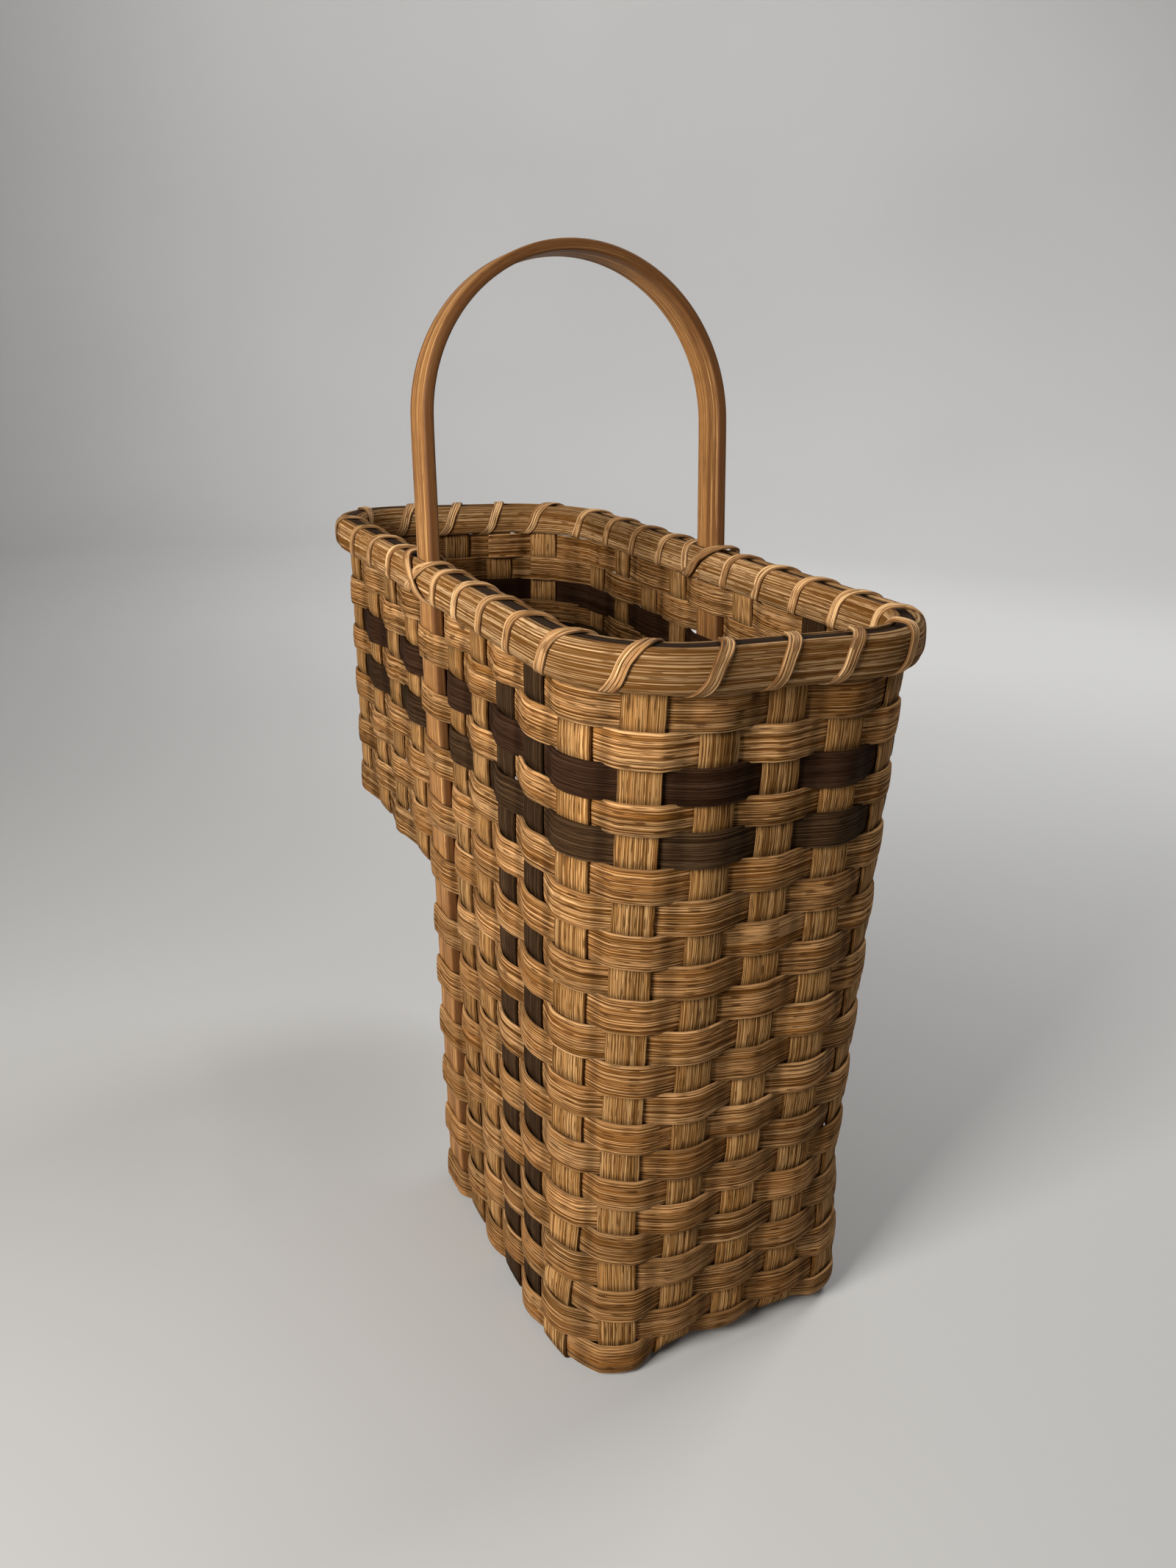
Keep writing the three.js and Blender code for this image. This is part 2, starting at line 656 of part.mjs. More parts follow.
function addLashing() {
  const outline = outlineAt(RIM_MIDDLE);
  const stations = lashingRoute().map(({ s, out, z }) => {
    const p = outline.point(s, out);
    return station(p.x, p.y, z, -Math.sin(p.angle), Math.cos(p.angle), 0);
  });
  const section = flatSection(LASHING_WIDTH, LASHING_THICKNESS);
  addPart('rim_lashing', loft(stations, section, false), lashingCane);
}

addStakes();
addWeavers();
addRimWeavers();
addHandle();
addRims();
addFillers();
addLashing();

// The origin is under the middle of the whole basket, on the stair.
const bounds = new THREE.Box3().setFromObject(basket);
const middle = bounds.getCenter(new THREE.Vector3());
basket.position.set(-middle.x, -middle.y, -bounds.min.z);

export default basket;
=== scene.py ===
"""Stair basket: a splint basket with a leg for one stair and a shelf for the stair above."""
import math
import random

import bpy
import numpy as np
from mathutils import Matrix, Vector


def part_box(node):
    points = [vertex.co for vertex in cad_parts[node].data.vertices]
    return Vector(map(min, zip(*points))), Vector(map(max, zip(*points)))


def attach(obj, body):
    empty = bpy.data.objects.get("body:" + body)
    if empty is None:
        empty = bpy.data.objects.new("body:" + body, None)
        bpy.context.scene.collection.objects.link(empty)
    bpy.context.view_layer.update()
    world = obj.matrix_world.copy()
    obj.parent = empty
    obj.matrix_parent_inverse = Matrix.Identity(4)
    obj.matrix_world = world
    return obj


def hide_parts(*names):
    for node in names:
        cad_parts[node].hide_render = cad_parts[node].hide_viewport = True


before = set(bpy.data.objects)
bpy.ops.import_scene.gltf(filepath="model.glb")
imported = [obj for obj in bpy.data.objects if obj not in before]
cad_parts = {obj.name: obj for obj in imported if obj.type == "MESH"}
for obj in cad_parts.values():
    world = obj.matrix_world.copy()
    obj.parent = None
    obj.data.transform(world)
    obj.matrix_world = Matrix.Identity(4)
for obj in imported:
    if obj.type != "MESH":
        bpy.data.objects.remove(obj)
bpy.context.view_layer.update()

bl_info = {
    "name": "Stair basket",
    "version": (1, 0, 0),
    "blender": (4, 5, 0),
    "location": "View3D > Sidebar > Basket",
    "description": "Weaves a stair basket of reed splints with a bent wooden handle",
    "category": "Add Mesh",
}

MM = 0.001

# Plan of the walls at the top row, through the stakes' middles, and how far the walls draw in
# for each metre down
BODY_LENGTH = 412 * MM
HALF_WIDTH = 88.3 * MM
CORNER_RADIUS = 52 * MM
SIDE_LEAN = 0.0063
END_LEAN = 0.053

# The corners are squarer at the foot and round off between these heights
FOOT_RADIUS = 34 * MM
SQUARE_UNTIL = 8 * MM
ROUND_FROM = 90 * MM

# The front wall's lower edge arches up and in between the corners, less on the left. It fades out
# with height, with distance behind the wall, and between these places across
ARCH_RISE = 6 * MM
ARCH_TUCK = 3.5 * MM
ARCH_HEIGHT = 19 * MM
ARCH_BEHIND = (75 * MM, 6 * MM)
ARCH_RIGHT = (-52 * MM, -30 * MM)
ARCH_LEFT = (30 * MM, 70 * MM)
ARCH_LEFT_LOSS = 0.35

# Stakes across the ends, counted from the middle, and along the sides, from the front
STEPS = (-2, -1, 0, 1, 2)
FRONT_PITCH = 32.5 * MM
FIRST_SIDE_STAKE = 32.9 * MM
LEG_PITCH = 34.3 * MM
HANDLE_PITCH = 36.6 * MM
SHELF_PITCH = 38 * MM
LEG_STAKES = 5
SHELF_STAKES = 4
LEG_BACK_SETBACK = 16 * MM
HANDLE_OFFSET = FIRST_SIDE_STAKE + (LEG_STAKES - 1) * LEG_PITCH + HANDLE_PITCH

# Side stakes lean back on their way up: not at all near the front, and most at the handle
LEAN_START = 15 * MM
HANDLE_LEAN = 0.1162

# Rows, counted down from the rim
BODY_ROWS = 10
ROWS = 22
NARROW_ROWS = (0, 4)
PLUM_ROWS = (3,)
BROWN_ROWS = (5,)
DARK_STAKES = (1, 2)

# Layers of the weave: gaps, the rise of a crossing, the radius of folds, and how far a stake lies
# flat over another as a share of the width
SNUG = 0.1 * MM
LAYER_STEP = 1.9 * MM
BASE_TURN = 3.4 * MM
SHELF_TURN = 2.4 * MM
BED_CLEAR = 0.12 * MM
BED_REACH = 0.85
FOLD_STEPS = 3

# A weaver's arc over a stake, and the shares of it that are left or lost elsewhere
CROWN_STEPS = (-1, -0.58, 0, 0.58, 1)
CROWN_INSIDE = 0.4
CROWN_ON_HANDLE = 0.5
CROWN_LOST_AT_CORNERS = 0.3
CORNER_GAIN = 8
ARC_INSET = 0.6 * MM
EDGE_LIFT = 0.8
BACK_FACING = -0.5
STAKE_DOME_SHARE = 0.6

# Rim: the strips lie this far from the stakes' middles, and the outer one's ends meet over the
# seam gap, counted round the stakes
RIM_SPREAD = 3.6 * MM
RIM_ROUNDNESS = 2.8
RIM_STEP = 6 * MM
RIM_CLEAR = 0.3 * MM
STRIP_THICKNESS = 2 * MM
STRIP_EASE = 0.45 * MM
STRIP_EDGE = 1.1 * MM
SEAM_GAP = 12
HIDDEN_ROW_SHARE = 0.94
FILLER_HEIGHT = 5 * MM
FILLER_EASE = 0.9 * MM
FILLER_SINK = 1.8 * MM
FILLER_SINK_SHARE = 0.25
FILLER_SINKS_FROM = (-20 * MM, 70 * MM)

# Lashing: gaps, how far a pass strays along the rim, stations a turn, and the strand's face
LASH_CLEAR = 0.2 * MM
LASH_STRAY = 1.2 * MM
LASH_STEPS = 28
LASH_EASE = 0.32 * MM
LASH_GROOVE = 0.45 * MM
LASH_RIDGES = 4
LASH_DOME = 0.12 * MM

# Handle: the bend from the bottom bar into a leg, and stations as shares of a leg's height
HANDLE_BEND = 13 * MM
HANDLE_CLEAR = 0.3 * MM
LEG_SHARES = (0.15, 0.4, 0.7)
BEND_STEPS = 6
ARCH_STEPS = 18

# Length of a mesh cell along each kind of piece, and how many cells lie across it
CELLS = {"weaver": (2.3 * MM, 5), "hidden row": (4 * MM, 3), "stake": (2.6 * MM, 3),
         "rim": (3 * MM, 14), "filler": (3.5 * MM, 2), "lashing": (1.7 * MM, 12),
         "handle": (3.5 * MM, 6)}

# Edges flatter than these are shaded smooth, on splints and on rounder pieces
SPLINT_SMOOTH = math.radians(38)
ROUND_SMOOTH = math.radians(50)

# Every piece has its own stretch of the grain and its own random draws
GRAIN_STRIDE = 3.37
GRAIN_START = {"weaver": 0, "long stake": 30, "cross stake": 40, "hidden row": 60, "rim": 70,
               "filler": 80, "lashing": 85, "handle": 90}
SEEDS = {"weaver": 100, "hidden row": 300, "stake": 500, "lashing": 7}

# The stage's floor, the cove that it turns up in and the straight wall above, in metres
FLOOR_RADIUS = 2.4
COVE_RADIUS = 1.0
COVE_STEPS = 10
WALL = 1.6


def node_name(row):
    """The frame's name of a row."""
    return f"weaver_{row:02d}"


def box(node):
    """Lowest and highest corner of a frame node as arrays."""
    low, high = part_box(node)
    return np.array(low), np.array(high)


def box_middle(node):
    """Height of a frame node's middle."""
    low, high = box(node)
    return float(low[2] + high[2]) / 2


ROW_HEIGHT = {row: box_middle(node_name(row)) for row in range(1, ROWS + 1)}
ROW_HEIGHT[0] = box_middle("rim_weaver_front")

# The rows above and below the shelf's line are moved and widened a little, and nearly meet
STEP_ROWS = {BODY_ROWS: (-0.45 * MM, 0.9 * MM), BODY_ROWS + 1: (0.6 * MM, 1.2 * MM)}
for step_row, (shift, _) in STEP_ROWS.items():
    ROW_HEIGHT[step_row] += shift

# Planes and heights that the frame gives, through the stakes' middles unless they name a top or
# a base
STAKE_THICKNESS = 1.6 * MM
TOP_ROW = ROW_HEIGHT[1]
FRONT_PLANE = float(box("long_stake_3")[1][0]) - STAKE_THICKNESS / 2
LOW = STAKE_THICKNESS / 2
SHELF_LOW = float(box("shelf_cross_stake_1")[0][2]) + STAKE_THICKNESS / 2
STAKE_TOP = float(box("long_stake_3")[1][2])
RIM_BASE = float(box("rim_outer")[0][2])
RIM_TOP = float(box("rim_outer")[1][2])
RIM_MIDDLE = (RIM_BASE + RIM_TOP) / 2
FILLER_TOP = float(box("rim_filler_front")[1][2])
HANDLE_TOP = float(box("handle_hoop")[1][2])

DOWN = np.array((0.0, 0.0, -1.0))
UP = -DOWN
BACKWARDS = np.array((-1.0, 0.0, 0.0))
LEFTWARDS = np.array((0.0, 1.0, 0.0))


def unit(vector):
    """The vector at length one."""
    vector = np.asarray(vector, float)
    return vector / np.linalg.norm(vector)


def smooth(value, low, high):
    """0 below low, 1 above high and a soft ramp between."""
    t = np.clip((np.asarray(value, float) - low) / (high - low), 0, 1)
    return t * t * (3 - 2 * t)


def half_width_at(z):
    """Half the walls' distance apart at a height."""
    return HALF_WIDTH - SIDE_LEAN * (TOP_ROW - z)


class Outline:
    """The walls' outline at one height, a rectangle whose corners round off up the leg.

    Distance s runs counterclockwise from the middle of the front wall."""

    def __init__(self, z):
        self.half = half_width_at(z)
        self.length = BODY_LENGTH - END_LEAN * (TOP_ROW - z)
        self.radius = FOOT_RADIUS + (CORNER_RADIUS - FOOT_RADIUS) * float(
            smooth(z, SQUARE_UNTIL, ROUND_FROM))
        self.flat = self.half - self.radius
        self.quarter = self.radius * math.pi / 2
        self.side = self.length - 2 * self.radius
        self.half_girth = 2 * self.flat + 2 * self.quarter + self.side
        self.girth = 2 * self.half_girth

    def round(self, excess):
        """Distance along a corner for a distance past its start."""
        return self.radius * math.asin(min(1, max(0, excess) / self.radius))

    def along_end(self, y):
        """Distance of a point of the front wall."""
        reach = min(abs(y), self.flat) + self.round(abs(y) - self.flat)
        return math.copysign(reach, y)

    def along_side(self, from_front):
        """Distance of a point of the left side."""
        straight = min(max(from_front - self.radius, 0), self.side)
        return (self.flat + self.quarter + straight - self.round(self.radius - from_front)
                + self.round(from_front - self.radius - self.side))

    def half_point(self, s, offset):
        """Place and facing of a point on the left half."""
        reach = self.radius + offset
        if s <= self.flat:
            return offset, s, 0.0
        if s <= self.flat + self.quarter:
            turn = (s - self.flat) / self.radius
            return -self.radius + reach * math.cos(turn), self.flat + reach * math.sin(turn), turn
        if s <= self.flat + self.quarter + self.side:
            return self.flat + self.quarter - s - self.radius, self.half + offset, math.pi / 2
        if s <= self.flat + 2 * self.quarter + self.side:
            turn = (s - self.flat - self.side) / self.radius
            return (self.radius - self.length + reach * math.cos(turn),
                    self.flat + reach * math.sin(turn), turn)
        return -self.length - offset, self.half_girth - s, math.pi

    def point(self, s, offset=0.0):
        """Place (x, y) and facing angle at a distance, moved outwards by an offset."""
        s = s % self.girth
        if s > self.half_girth:
            x, y, turn = self.half_point(self.girth - s, offset)
            return FRONT_PLANE + x, -y, -turn
        x, y, turn = self.half_point(s, offset)
        return FRONT_PLANE + x, y, turn


class Upright:
    """The part of a stake that stands in a wall.

    It follows a function that gives its place and the way that it faces at a height."""

    def __init__(self, odd, follow, width, thickness):
        self.odd = odd
        self.follow = follow
        self.width = width
        self.thickness = thickness

    def at(self, z):
        """Middle of the stake at a height."""
        return self.follow(z)[0]

    def facing(self, z):
        """Outward direction at a height."""
        return self.follow(z)[1]

    def along(self, z):
        """Direction of the stake's width at a height, counterclockwise round the basket."""
        facing = self.facing(z)
        return np.array((-facing[1], facing[0], 0.0))

    def up(self, z):
        """Direction up the wall at a height, square to the stake's width."""
        along = self.along(z)
        rise = self.at(z + MM) - self.at(z - MM)
        return unit(rise - (rise @ along) * along)

    def weaver_outside(self, row):
        """Whether a row passes outside this upright."""
        return self.odd == (row % 2 == 0)


def on_outline(outline, s, z, width):
    """Place and facing of a flat stake on the outline, half of a corner's rise on each side."""
    before, middle, after = (
        np.array((*outline.point(s + step)[:2], z)) for step in (-width / 2, 0, width / 2))
    chord = unit(after - before)
    return ((before + after) / 2 + middle) / 2, np.array((chord[1], -chord[0], 0.0))


def lean_of(offset):
    """How far back a side stake leans per unit of height."""
    if offset <= HANDLE_OFFSET:
        return HANDLE_LEAN * (offset - LEAN_START) / (HANDLE_OFFSET - LEAN_START)
    share = (offset - HANDLE_OFFSET) / (BODY_LENGTH - HANDLE_OFFSET)
    return HANDLE_LEAN + (END_LEAN - HANDLE_LEAN) * share


def from_front_at(offset, z):
    """Distance of a side stake from the front wall at a height."""
    return offset - lean_of(offset) * (TOP_ROW - z)


class Ribs:
    """Every upright of the basket, and the rings of them that the rows pass."""

    def __init__(self, sizes):
        self.sizes = sizes
        self.front = [self.end_upright(step, True) for step in STEPS]
        self.end = [self.end_upright(step, False) for step in STEPS]
        self.leg_back = [self.leg_back_upright(step) for step in STEPS]
        self.side = self.list_side_stakes()
        self.leg_side = self.side[:LEG_STAKES + 1]
        self.handle = self.side[LEG_STAKES]
        self.body_ring = (self.front + [s["left"] for s in self.side] + self.end[::-1]
                          + [s["right"] for s in self.side[::-1]])
        self.leg_ring = (self.front + [s["left"] for s in self.leg_side] + self.leg_back[::-1]
                         + [s["right"] for s in self.leg_side[::-1]])

    def end_upright(self, step, at_front):
        """An upright of the front wall or the end wall."""

        def follow(z):
            """Place and facing at a height."""
            outline = Outline(z)
            s = outline.along_end(step * FRONT_PITCH * half_width_at(z) / HALF_WIDTH)
            s = s if at_front else outline.half_girth - s
            return on_outline(outline, s, z, self.sizes.stake_width)

        odd = (step % 2 == 0) == at_front
        return Upright(odd, follow, self.sizes.stake_width, self.sizes.stake_thickness)

    def leg_back_upright(self, step):
        """An upright of the leg's back wall."""

        def follow(z):
            """Place and facing at a height."""
            x = FRONT_PLANE - from_front_at(HANDLE_OFFSET, z) - LEG_BACK_SETBACK
            y = step * FRONT_PITCH * half_width_at(z) / HALF_WIDTH
            return np.array((x, y, z)), BACKWARDS

        return Upright(step % 2 != 0, follow, self.sizes.stake_width, self.sizes.stake_thickness)

    def side_upright(self, index, offset, sign, width, thickness):
        """An upright of a side, left with sign 1 or right with sign -1."""

        def follow(z):
            """Place and facing at a height."""
            outline = Outline(z)
            s = sign * outline.along_side(from_front_at(offset, z))
            return on_outline(outline, s, z, self.sizes.stake_width)

        return Upright(index % 2 == 1, follow, width, thickness)

    def list_side_stakes(self):
        """The stakes and the handle along the sides, from the front back."""
        offsets = [FIRST_SIDE_STAKE + i * LEG_PITCH for i in range(LEG_STAKES)]
        offsets.append(HANDLE_OFFSET)
        offsets += [HANDLE_OFFSET + i * SHELF_PITCH for i in range(1, SHELF_STAKES + 1)]
        stakes = []
        for index, offset in enumerate(offsets):
            is_handle = index == LEG_STAKES
            width = self.sizes.handle_width if is_handle else self.sizes.stake_width
            thick = self.sizes.handle_thickness if is_handle else self.sizes.stake_thickness
            stakes.append({"index": index, "offset": offset, "handle": is_handle,
                           "left": self.side_upright(index, offset, 1, width, thick),
                           "right": self.side_upright(index, offset, -1, width, thick)})
        return stakes


class Route:
    """A smooth path through stations, with the directions of a splint's width and thickness.

    A station is a place, the direction of the width, and how far the splint lies outside (1) or
    inside (-1) what it crosses."""

    SAMPLE = 0.7 * MM
    BEND_WEIGHT = 8 * MM

    def __init__(self, stations):
        at = np.array([s[0] for s in stations])
        across = np.array([s[1] for s in stations])
        lift = np.array([s[2] for s in stations], float)
        gaps = np.linalg.norm(np.diff(at, axis=0), axis=1)
        keep = np.concatenate(([True], gaps > self.SAMPLE / 4))
        at, across, lift = at[keep], across[keep], lift[keep]
        gaps = np.linalg.norm(np.diff(at, axis=0), axis=1)
        knots = np.concatenate(([0], np.cumsum(np.sqrt(gaps))))
        slopes = self.slopes(at, knots)
        places, acrosses, lifts = [], [], []
        for i in range(len(at) - 1):
            run = knots[i + 1] - knots[i]
            count = max(2, int(np.linalg.norm(at[i + 1] - at[i]) / self.SAMPLE))
            last = i == len(at) - 2
            t = np.linspace(0, 1, count + 1)[:None if last else -1][:, None]
            h00, h10 = 2 * t**3 - 3 * t**2 + 1, t**3 - 2 * t**2 + t
            h01, h11 = -2 * t**3 + 3 * t**2, t**3 - t**2
            places.append(h00 * at[i] + h10 * run * slopes[i] + h01 * at[i + 1]
                          + h11 * run * slopes[i + 1])
            acrosses.append(across[i] * (1 - h01) + across[i + 1] * h01)
            lifts.append((lift[i] * (1 - h01) + lift[i + 1] * h01)[:, 0])
        self.at = np.concatenate(places)
        self.lift = np.concatenate(lifts)
        across = np.concatenate(acrosses)
        steps = np.linalg.norm(np.diff(self.at, axis=0), axis=1)
        self.s = np.concatenate(([0], np.cumsum(steps)))
        self.length = float(self.s[-1])
        tangent = np.gradient(self.at, self.s, axis=0)
        tangent /= np.linalg.norm(tangent, axis=1)[:, None]
        normal = np.cross(tangent, across)
        self.normal = normal / np.linalg.norm(normal, axis=1)[:, None]
        self.across = np.cross(self.normal, tangent)
        turn = np.linalg.norm(np.diff(tangent, axis=0), axis=1)
        pace = np.concatenate(([0], np.cumsum(steps + self.BEND_WEIGHT * turn)))
        self.pace = pace / pace[-1] * self.length

    @staticmethod
    def slopes(at, knots):
        """How fast the path moves at every station."""
        slopes = np.empty_like(at)
        for i in range(1, len(at) - 1):
            back, ahead = knots[i] - knots[i - 1], knots[i + 1] - knots[i]
            slopes[i] = ((at[i] - at[i - 1]) / back - (at[i + 1] - at[i - 1]) / (back + ahead)
                         + (at[i + 1] - at[i]) / ahead)
        slopes[0] = (at[1] - at[0]) / (knots[1] - knots[0])
        slopes[-1] = (at[-1] - at[-2]) / (knots[-1] - knots[-2])
        return slopes

    def true_distance(self, x):
        """Distance along the path for a distance along the flat splint, closer at bends."""
        return np.interp(x, self.pace, self.s)

    def read(self, table, s):
        """A column or a direction of the path at some distances."""
        if table.ndim == 1:
            return np.interp(s, self.s, table)
        return np.stack([np.interp(s, self.s, table[:, k]) for k in range(3)], axis=1)


def deselect():
    """Leaves object mode's selection empty."""
    bpy.ops.object.select_all(action="DESELECT")


def apply_modifiers(piece):
    """Applies a piece's modifiers in order."""
    deselect()
    bpy.context.view_layer.objects.active = piece
    piece.select_set(True)
    for modifier in list(piece.modifiers):
        bpy.ops.object.modifier_apply(modifier=modifier.name)


def cut_blank(name, kind, length, width, thickness, edge, edge_steps=2):
    """A flat splint: x along it from 0, y across it, z through it, with its edges eased."""
    cell, wide_cells = CELLS[kind]
    deselect()
    bpy.ops.mesh.primitive_grid_add(
        x_subdivisions=max(2, round(length / cell)), y_subdivisions=wide_cells, size=1.0)
    blank = bpy.context.object
    blank.name = name
    blank.data.name = name
    bpy.ops.object.mode_set(mode="EDIT")
    bpy.ops.mesh.select_all(action="SELECT")
    bpy.ops.transform.resize(value=(length, width, 1), center_override=(0, 0, 0))
    bpy.ops.transform.translate(value=(length / 2, 0, 0))
    bpy.ops.object.mode_set(mode="OBJECT")
    solid = blank.modifiers.new("thickness", "SOLIDIFY")
    solid.thickness = thickness
    solid.offset = 0
    bevel = blank.modifiers.new("eased edges", "BEVEL")
    bevel.width = edge
    bevel.segments = edge_steps
    bevel.limit_method = "ANGLE"
    apply_modifiers(blank)
    return blank


def read_points(piece):
    """A mesh's vertex places as an array."""
    points = np.empty(len(piece.data.vertices) * 3, np.float32)
    piece.data.vertices.foreach_get("co", points)
    return points.reshape(-1, 3).astype(float)


def write_points(piece, points):
    """Puts a mesh's vertices at new places."""
    piece.data.vertices.foreach_set("co", points.astype(np.float32).ravel())
    piece.data.update()


def write_attribute(piece, name, values):
    """Stores one number for each vertex."""
    layer = piece.data.attributes.new(name, "FLOAT", "POINT")
    layer.data.foreach_set("value", np.asarray(values, np.float32))


def write_grain_map(piece, along, around):
    """The piece's UV map in metres: along the splint and across it."""
    layer = piece.data.uv_layers.active or piece.data.uv_layers.new()
    layer.name = "grain"
    corners = np.empty(len(piece.data.loops), np.int32)
    piece.data.loops.foreach_get("vertex_index", corners)
    pairs = np.stack([along[corners], around[corners]], axis=1)
    layer.data.foreach_set("uv", pairs.astype(np.float32).ravel())


def arch_front(points):
    """Lifts and tucks the foot of the front wall between its corners."""
    x, y, z = points.T
    across = smooth(y, *ARCH_RIGHT) * (1 - ARCH_LEFT_LOSS * smooth(y, *ARCH_LEFT))
    below = 1 - np.clip(z / ARCH_HEIGHT, 0, 1)
    share = across * below * smooth(FRONT_PLANE - x, *ARCH_BEHIND)
    return points + np.stack([-ARCH_TUCK * share * below, 0 * y, ARCH_RISE * share], axis=1)


def lay_splint(blank, route, index, shape=None):
    """Bends a flat splint onto its route, keeping its grain map from the flat and storing the edge
    share and the lift from which its finish paints pale and dark edges and the painted shade where
    splints cross.
    """
    flat = read_points(blank)
    s = route.true_distance(flat[:, 0])
    half = float(np.abs(flat[:, 1]).max())
    share = flat[:, 1] / half
    write_grain_map(blank, s + GRAIN_STRIDE * index, flat[:, 1] + flat[:, 2])
    write_attribute(blank, "edge", np.abs(share))
    write_attribute(blank, "lift", route.read(route.lift, s))
    y, z = flat[:, 1], flat[:, 2]
    if shape:
        y, z = shape(s, y, z, share)
    placed = (route.read(route.at, s) + route.read(route.across, s) * y[:, None]
              + route.read(route.normal, s) * z[:, None])
    write_points(blank, arch_front(placed))


def finish_piece(piece, node, finish, angle=SPLINT_SMOOTH):
    """Shades a finished piece and ties it to the frame."""
    deselect()
    bpy.context.view_layer.objects.active = piece
    piece.select_set(True)
    bpy.ops.object.shade_smooth_by_angle(angle=angle)
    piece.data.materials.clear()
    piece.data.materials.append(finish)
    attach(piece, "root")
    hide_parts(node)


def wavy_edges(rng, amount, cup):
    """A shape for lay_splint: edges that waver a little, and a slightly domed face."""
    slow, quick, quick_size = (60, 140), (300, 700), 0.35
    waves = [(rng.uniform(*slow), rng.uniform(0, math.tau), rng.uniform(0.3, 1))
             for _ in range(3)]
    waves += [(rng.uniform(*quick), rng.uniform(0, math.tau), quick_size) for _ in range(3)]

    def shape(s, y, z, share):
        """Moves the splint's points while it is straight."""
        waver = sum(size * np.sin(rate * s + start + np.sign(share) * rate)
                    for rate, start, size in waves)
        y = y + np.sign(share) * waver * amount * smooth(np.abs(share), 0.6, 1)
        return y, z - cup * share**2

    return shape


# Weavers -------------------------------------------------------------------------------------


def weaver_stations(upright, row, sizes, rng, extra=0.0):
    """Stations of a weaver over one upright, in an arc from its near edge to its far edge."""
    z = ROW_HEIGHT[row]
    place, facing, along = upright.at(z), upright.facing(z), upright.along(z)
    outside = upright.weaver_outside(row)
    is_handle = upright.thickness > sizes.stake_thickness * 2
    lift = (upright.thickness + sizes.weaver_thickness) / 2 + SNUG + extra
    at_corner = min(1, CORNER_GAIN * (1 - max(abs(facing[0]), abs(facing[1]))))
    kept = CROWN_ON_HANDLE if is_handle else 1 - CROWN_LOST_AT_CORNERS * at_corner
    crown = sizes.crown * kept * rng.uniform(0.8, 1.2)
    if not outside:
        lift += sizes.slack
        crown *= CROWN_INSIDE
    wander = rng.uniform(-1, 1) * sizes.wander
    tilt = rng.uniform(-1, 1) * sizes.tilt
    reach = upright.width / 2 - (0 if is_handle else ARC_INSET)
    across = upright.up(z) + facing * tilt
    sign = 1 if outside else -1
    stations = []
    for side in CROWN_STEPS:
        rise = 1 - side**2
        at = place + along * side * reach + facing * sign * (lift + crown * rise)
        at[2] += wander
        stations.append((at, across, sign * (EDGE_LIFT + (1 - EDGE_LIFT) * rise)))
    return stations


def hoop_route(ring, row, first, sizes, rng):
    """A weaver's way round its ring, from behind one upright to behind the same one again."""
    order = ring[first:] + ring[:first]
    stations = []
    for upright in order:
        stations += weaver_stations(upright, row, sizes, rng)
    stations += weaver_stations(order[0], row, sizes, rng, sizes.weaver_thickness + SNUG)
    return Route(stations)


def row_finish(row):
    """Slot of a row's reed."""
    if row in PLUM_ROWS:
        return "dyed_reed_plum"
    if row in BROWN_ROWS:
        return "dyed_reed_brown"
    return "natural_reed"


def weave_row(ribs, row, sizes, finishes):
    """Makes one weaver."""
    rng = random.Random(SEEDS["weaver"] + row)
    ring = ribs.body_ring if row <= BODY_ROWS else ribs.leg_ring
    hidden = [i for i, upright in enumerate(ring) if not upright.weaver_outside(row)
              and upright.facing(ROW_HEIGHT[row])[0] < BACK_FACING]
    route = hoop_route(ring, row, rng.choice(hidden), sizes, rng)
    width = sizes.narrow_weaver_width if row in NARROW_ROWS else sizes.weaver_width
    width += STEP_ROWS.get(row, (0, 0))[1]
    blank = cut_blank(f"splint_{node_name(row)}", "weaver", route.length, width,
                      sizes.weaver_thickness, sizes.splint_ease)
    lay_splint(blank, route, GRAIN_START["weaver"] + row,
               wavy_edges(rng, sizes.ragged, sizes.cup))
    finish_piece(blank, node_name(row), finishes[row_finish(row)])


def weave_hidden_row(ribs, sizes, finishes):
    """Makes the two lengths of the row that the rim strips cover."""
    ring = ribs.body_ring
    left, right = ring.index(ribs.handle["left"]), ring.index(ribs.handle["right"])
    runs = {"rim_weaver_front": ring[right + 1:] + ring[:left],
            "rim_weaver_rear": ring[left + 1:right]}
    for number, (node, uprights) in enumerate(runs.items()):
        rng = random.Random(SEEDS["hidden row"] + number)
        stations = []
        for upright in uprights:
            stations += weaver_stations(upright, 0, sizes, rng)
        route = Route(stations)
        blank = cut_blank(f"splint_{node}", "hidden row", route.length,
                          sizes.narrow_weaver_width * HIDDEN_ROW_SHARE,
                          sizes.weaver_thickness, sizes.splint_ease)
        lay_splint(blank, route, GRAIN_START["hidden row"] + number)
        finish_piece(blank, node, finishes["natural_reed"])


# Stakes --------------------------------------------------------------------------------------


def wall_stations(upright, turn, sizes, rows):
    """Stations of a stake down a wall, pushed in and out by the rows it passes."""
    stations = [(upright.at(STAKE_TOP), turn * upright.along(STAKE_TOP), 0.0)]
    for row in rows:
        z = ROW_HEIGHT[row]
        sign = -1 if upright.weaver_outside(row) else 1
        at = upright.at(z) + upright.facing(z) * sign * sizes.bow
        stations.append((at, turn * upright.along(z), float(sign)))
    return stations


def turn_stations(corner, into, out_of, across, radius):
    """Stations round a fold, a quarter circle from where it starts to where it ends."""
    stations = []
    for step in range(FOLD_STEPS + 1):
        angle = math.pi / 2 * step / FOLD_STEPS
        at = (corner - into * radius * (1 - math.sin(angle))
              + out_of * radius * (1 - math.cos(angle)))
        stations.append((at, across, 0.0))
    return stations


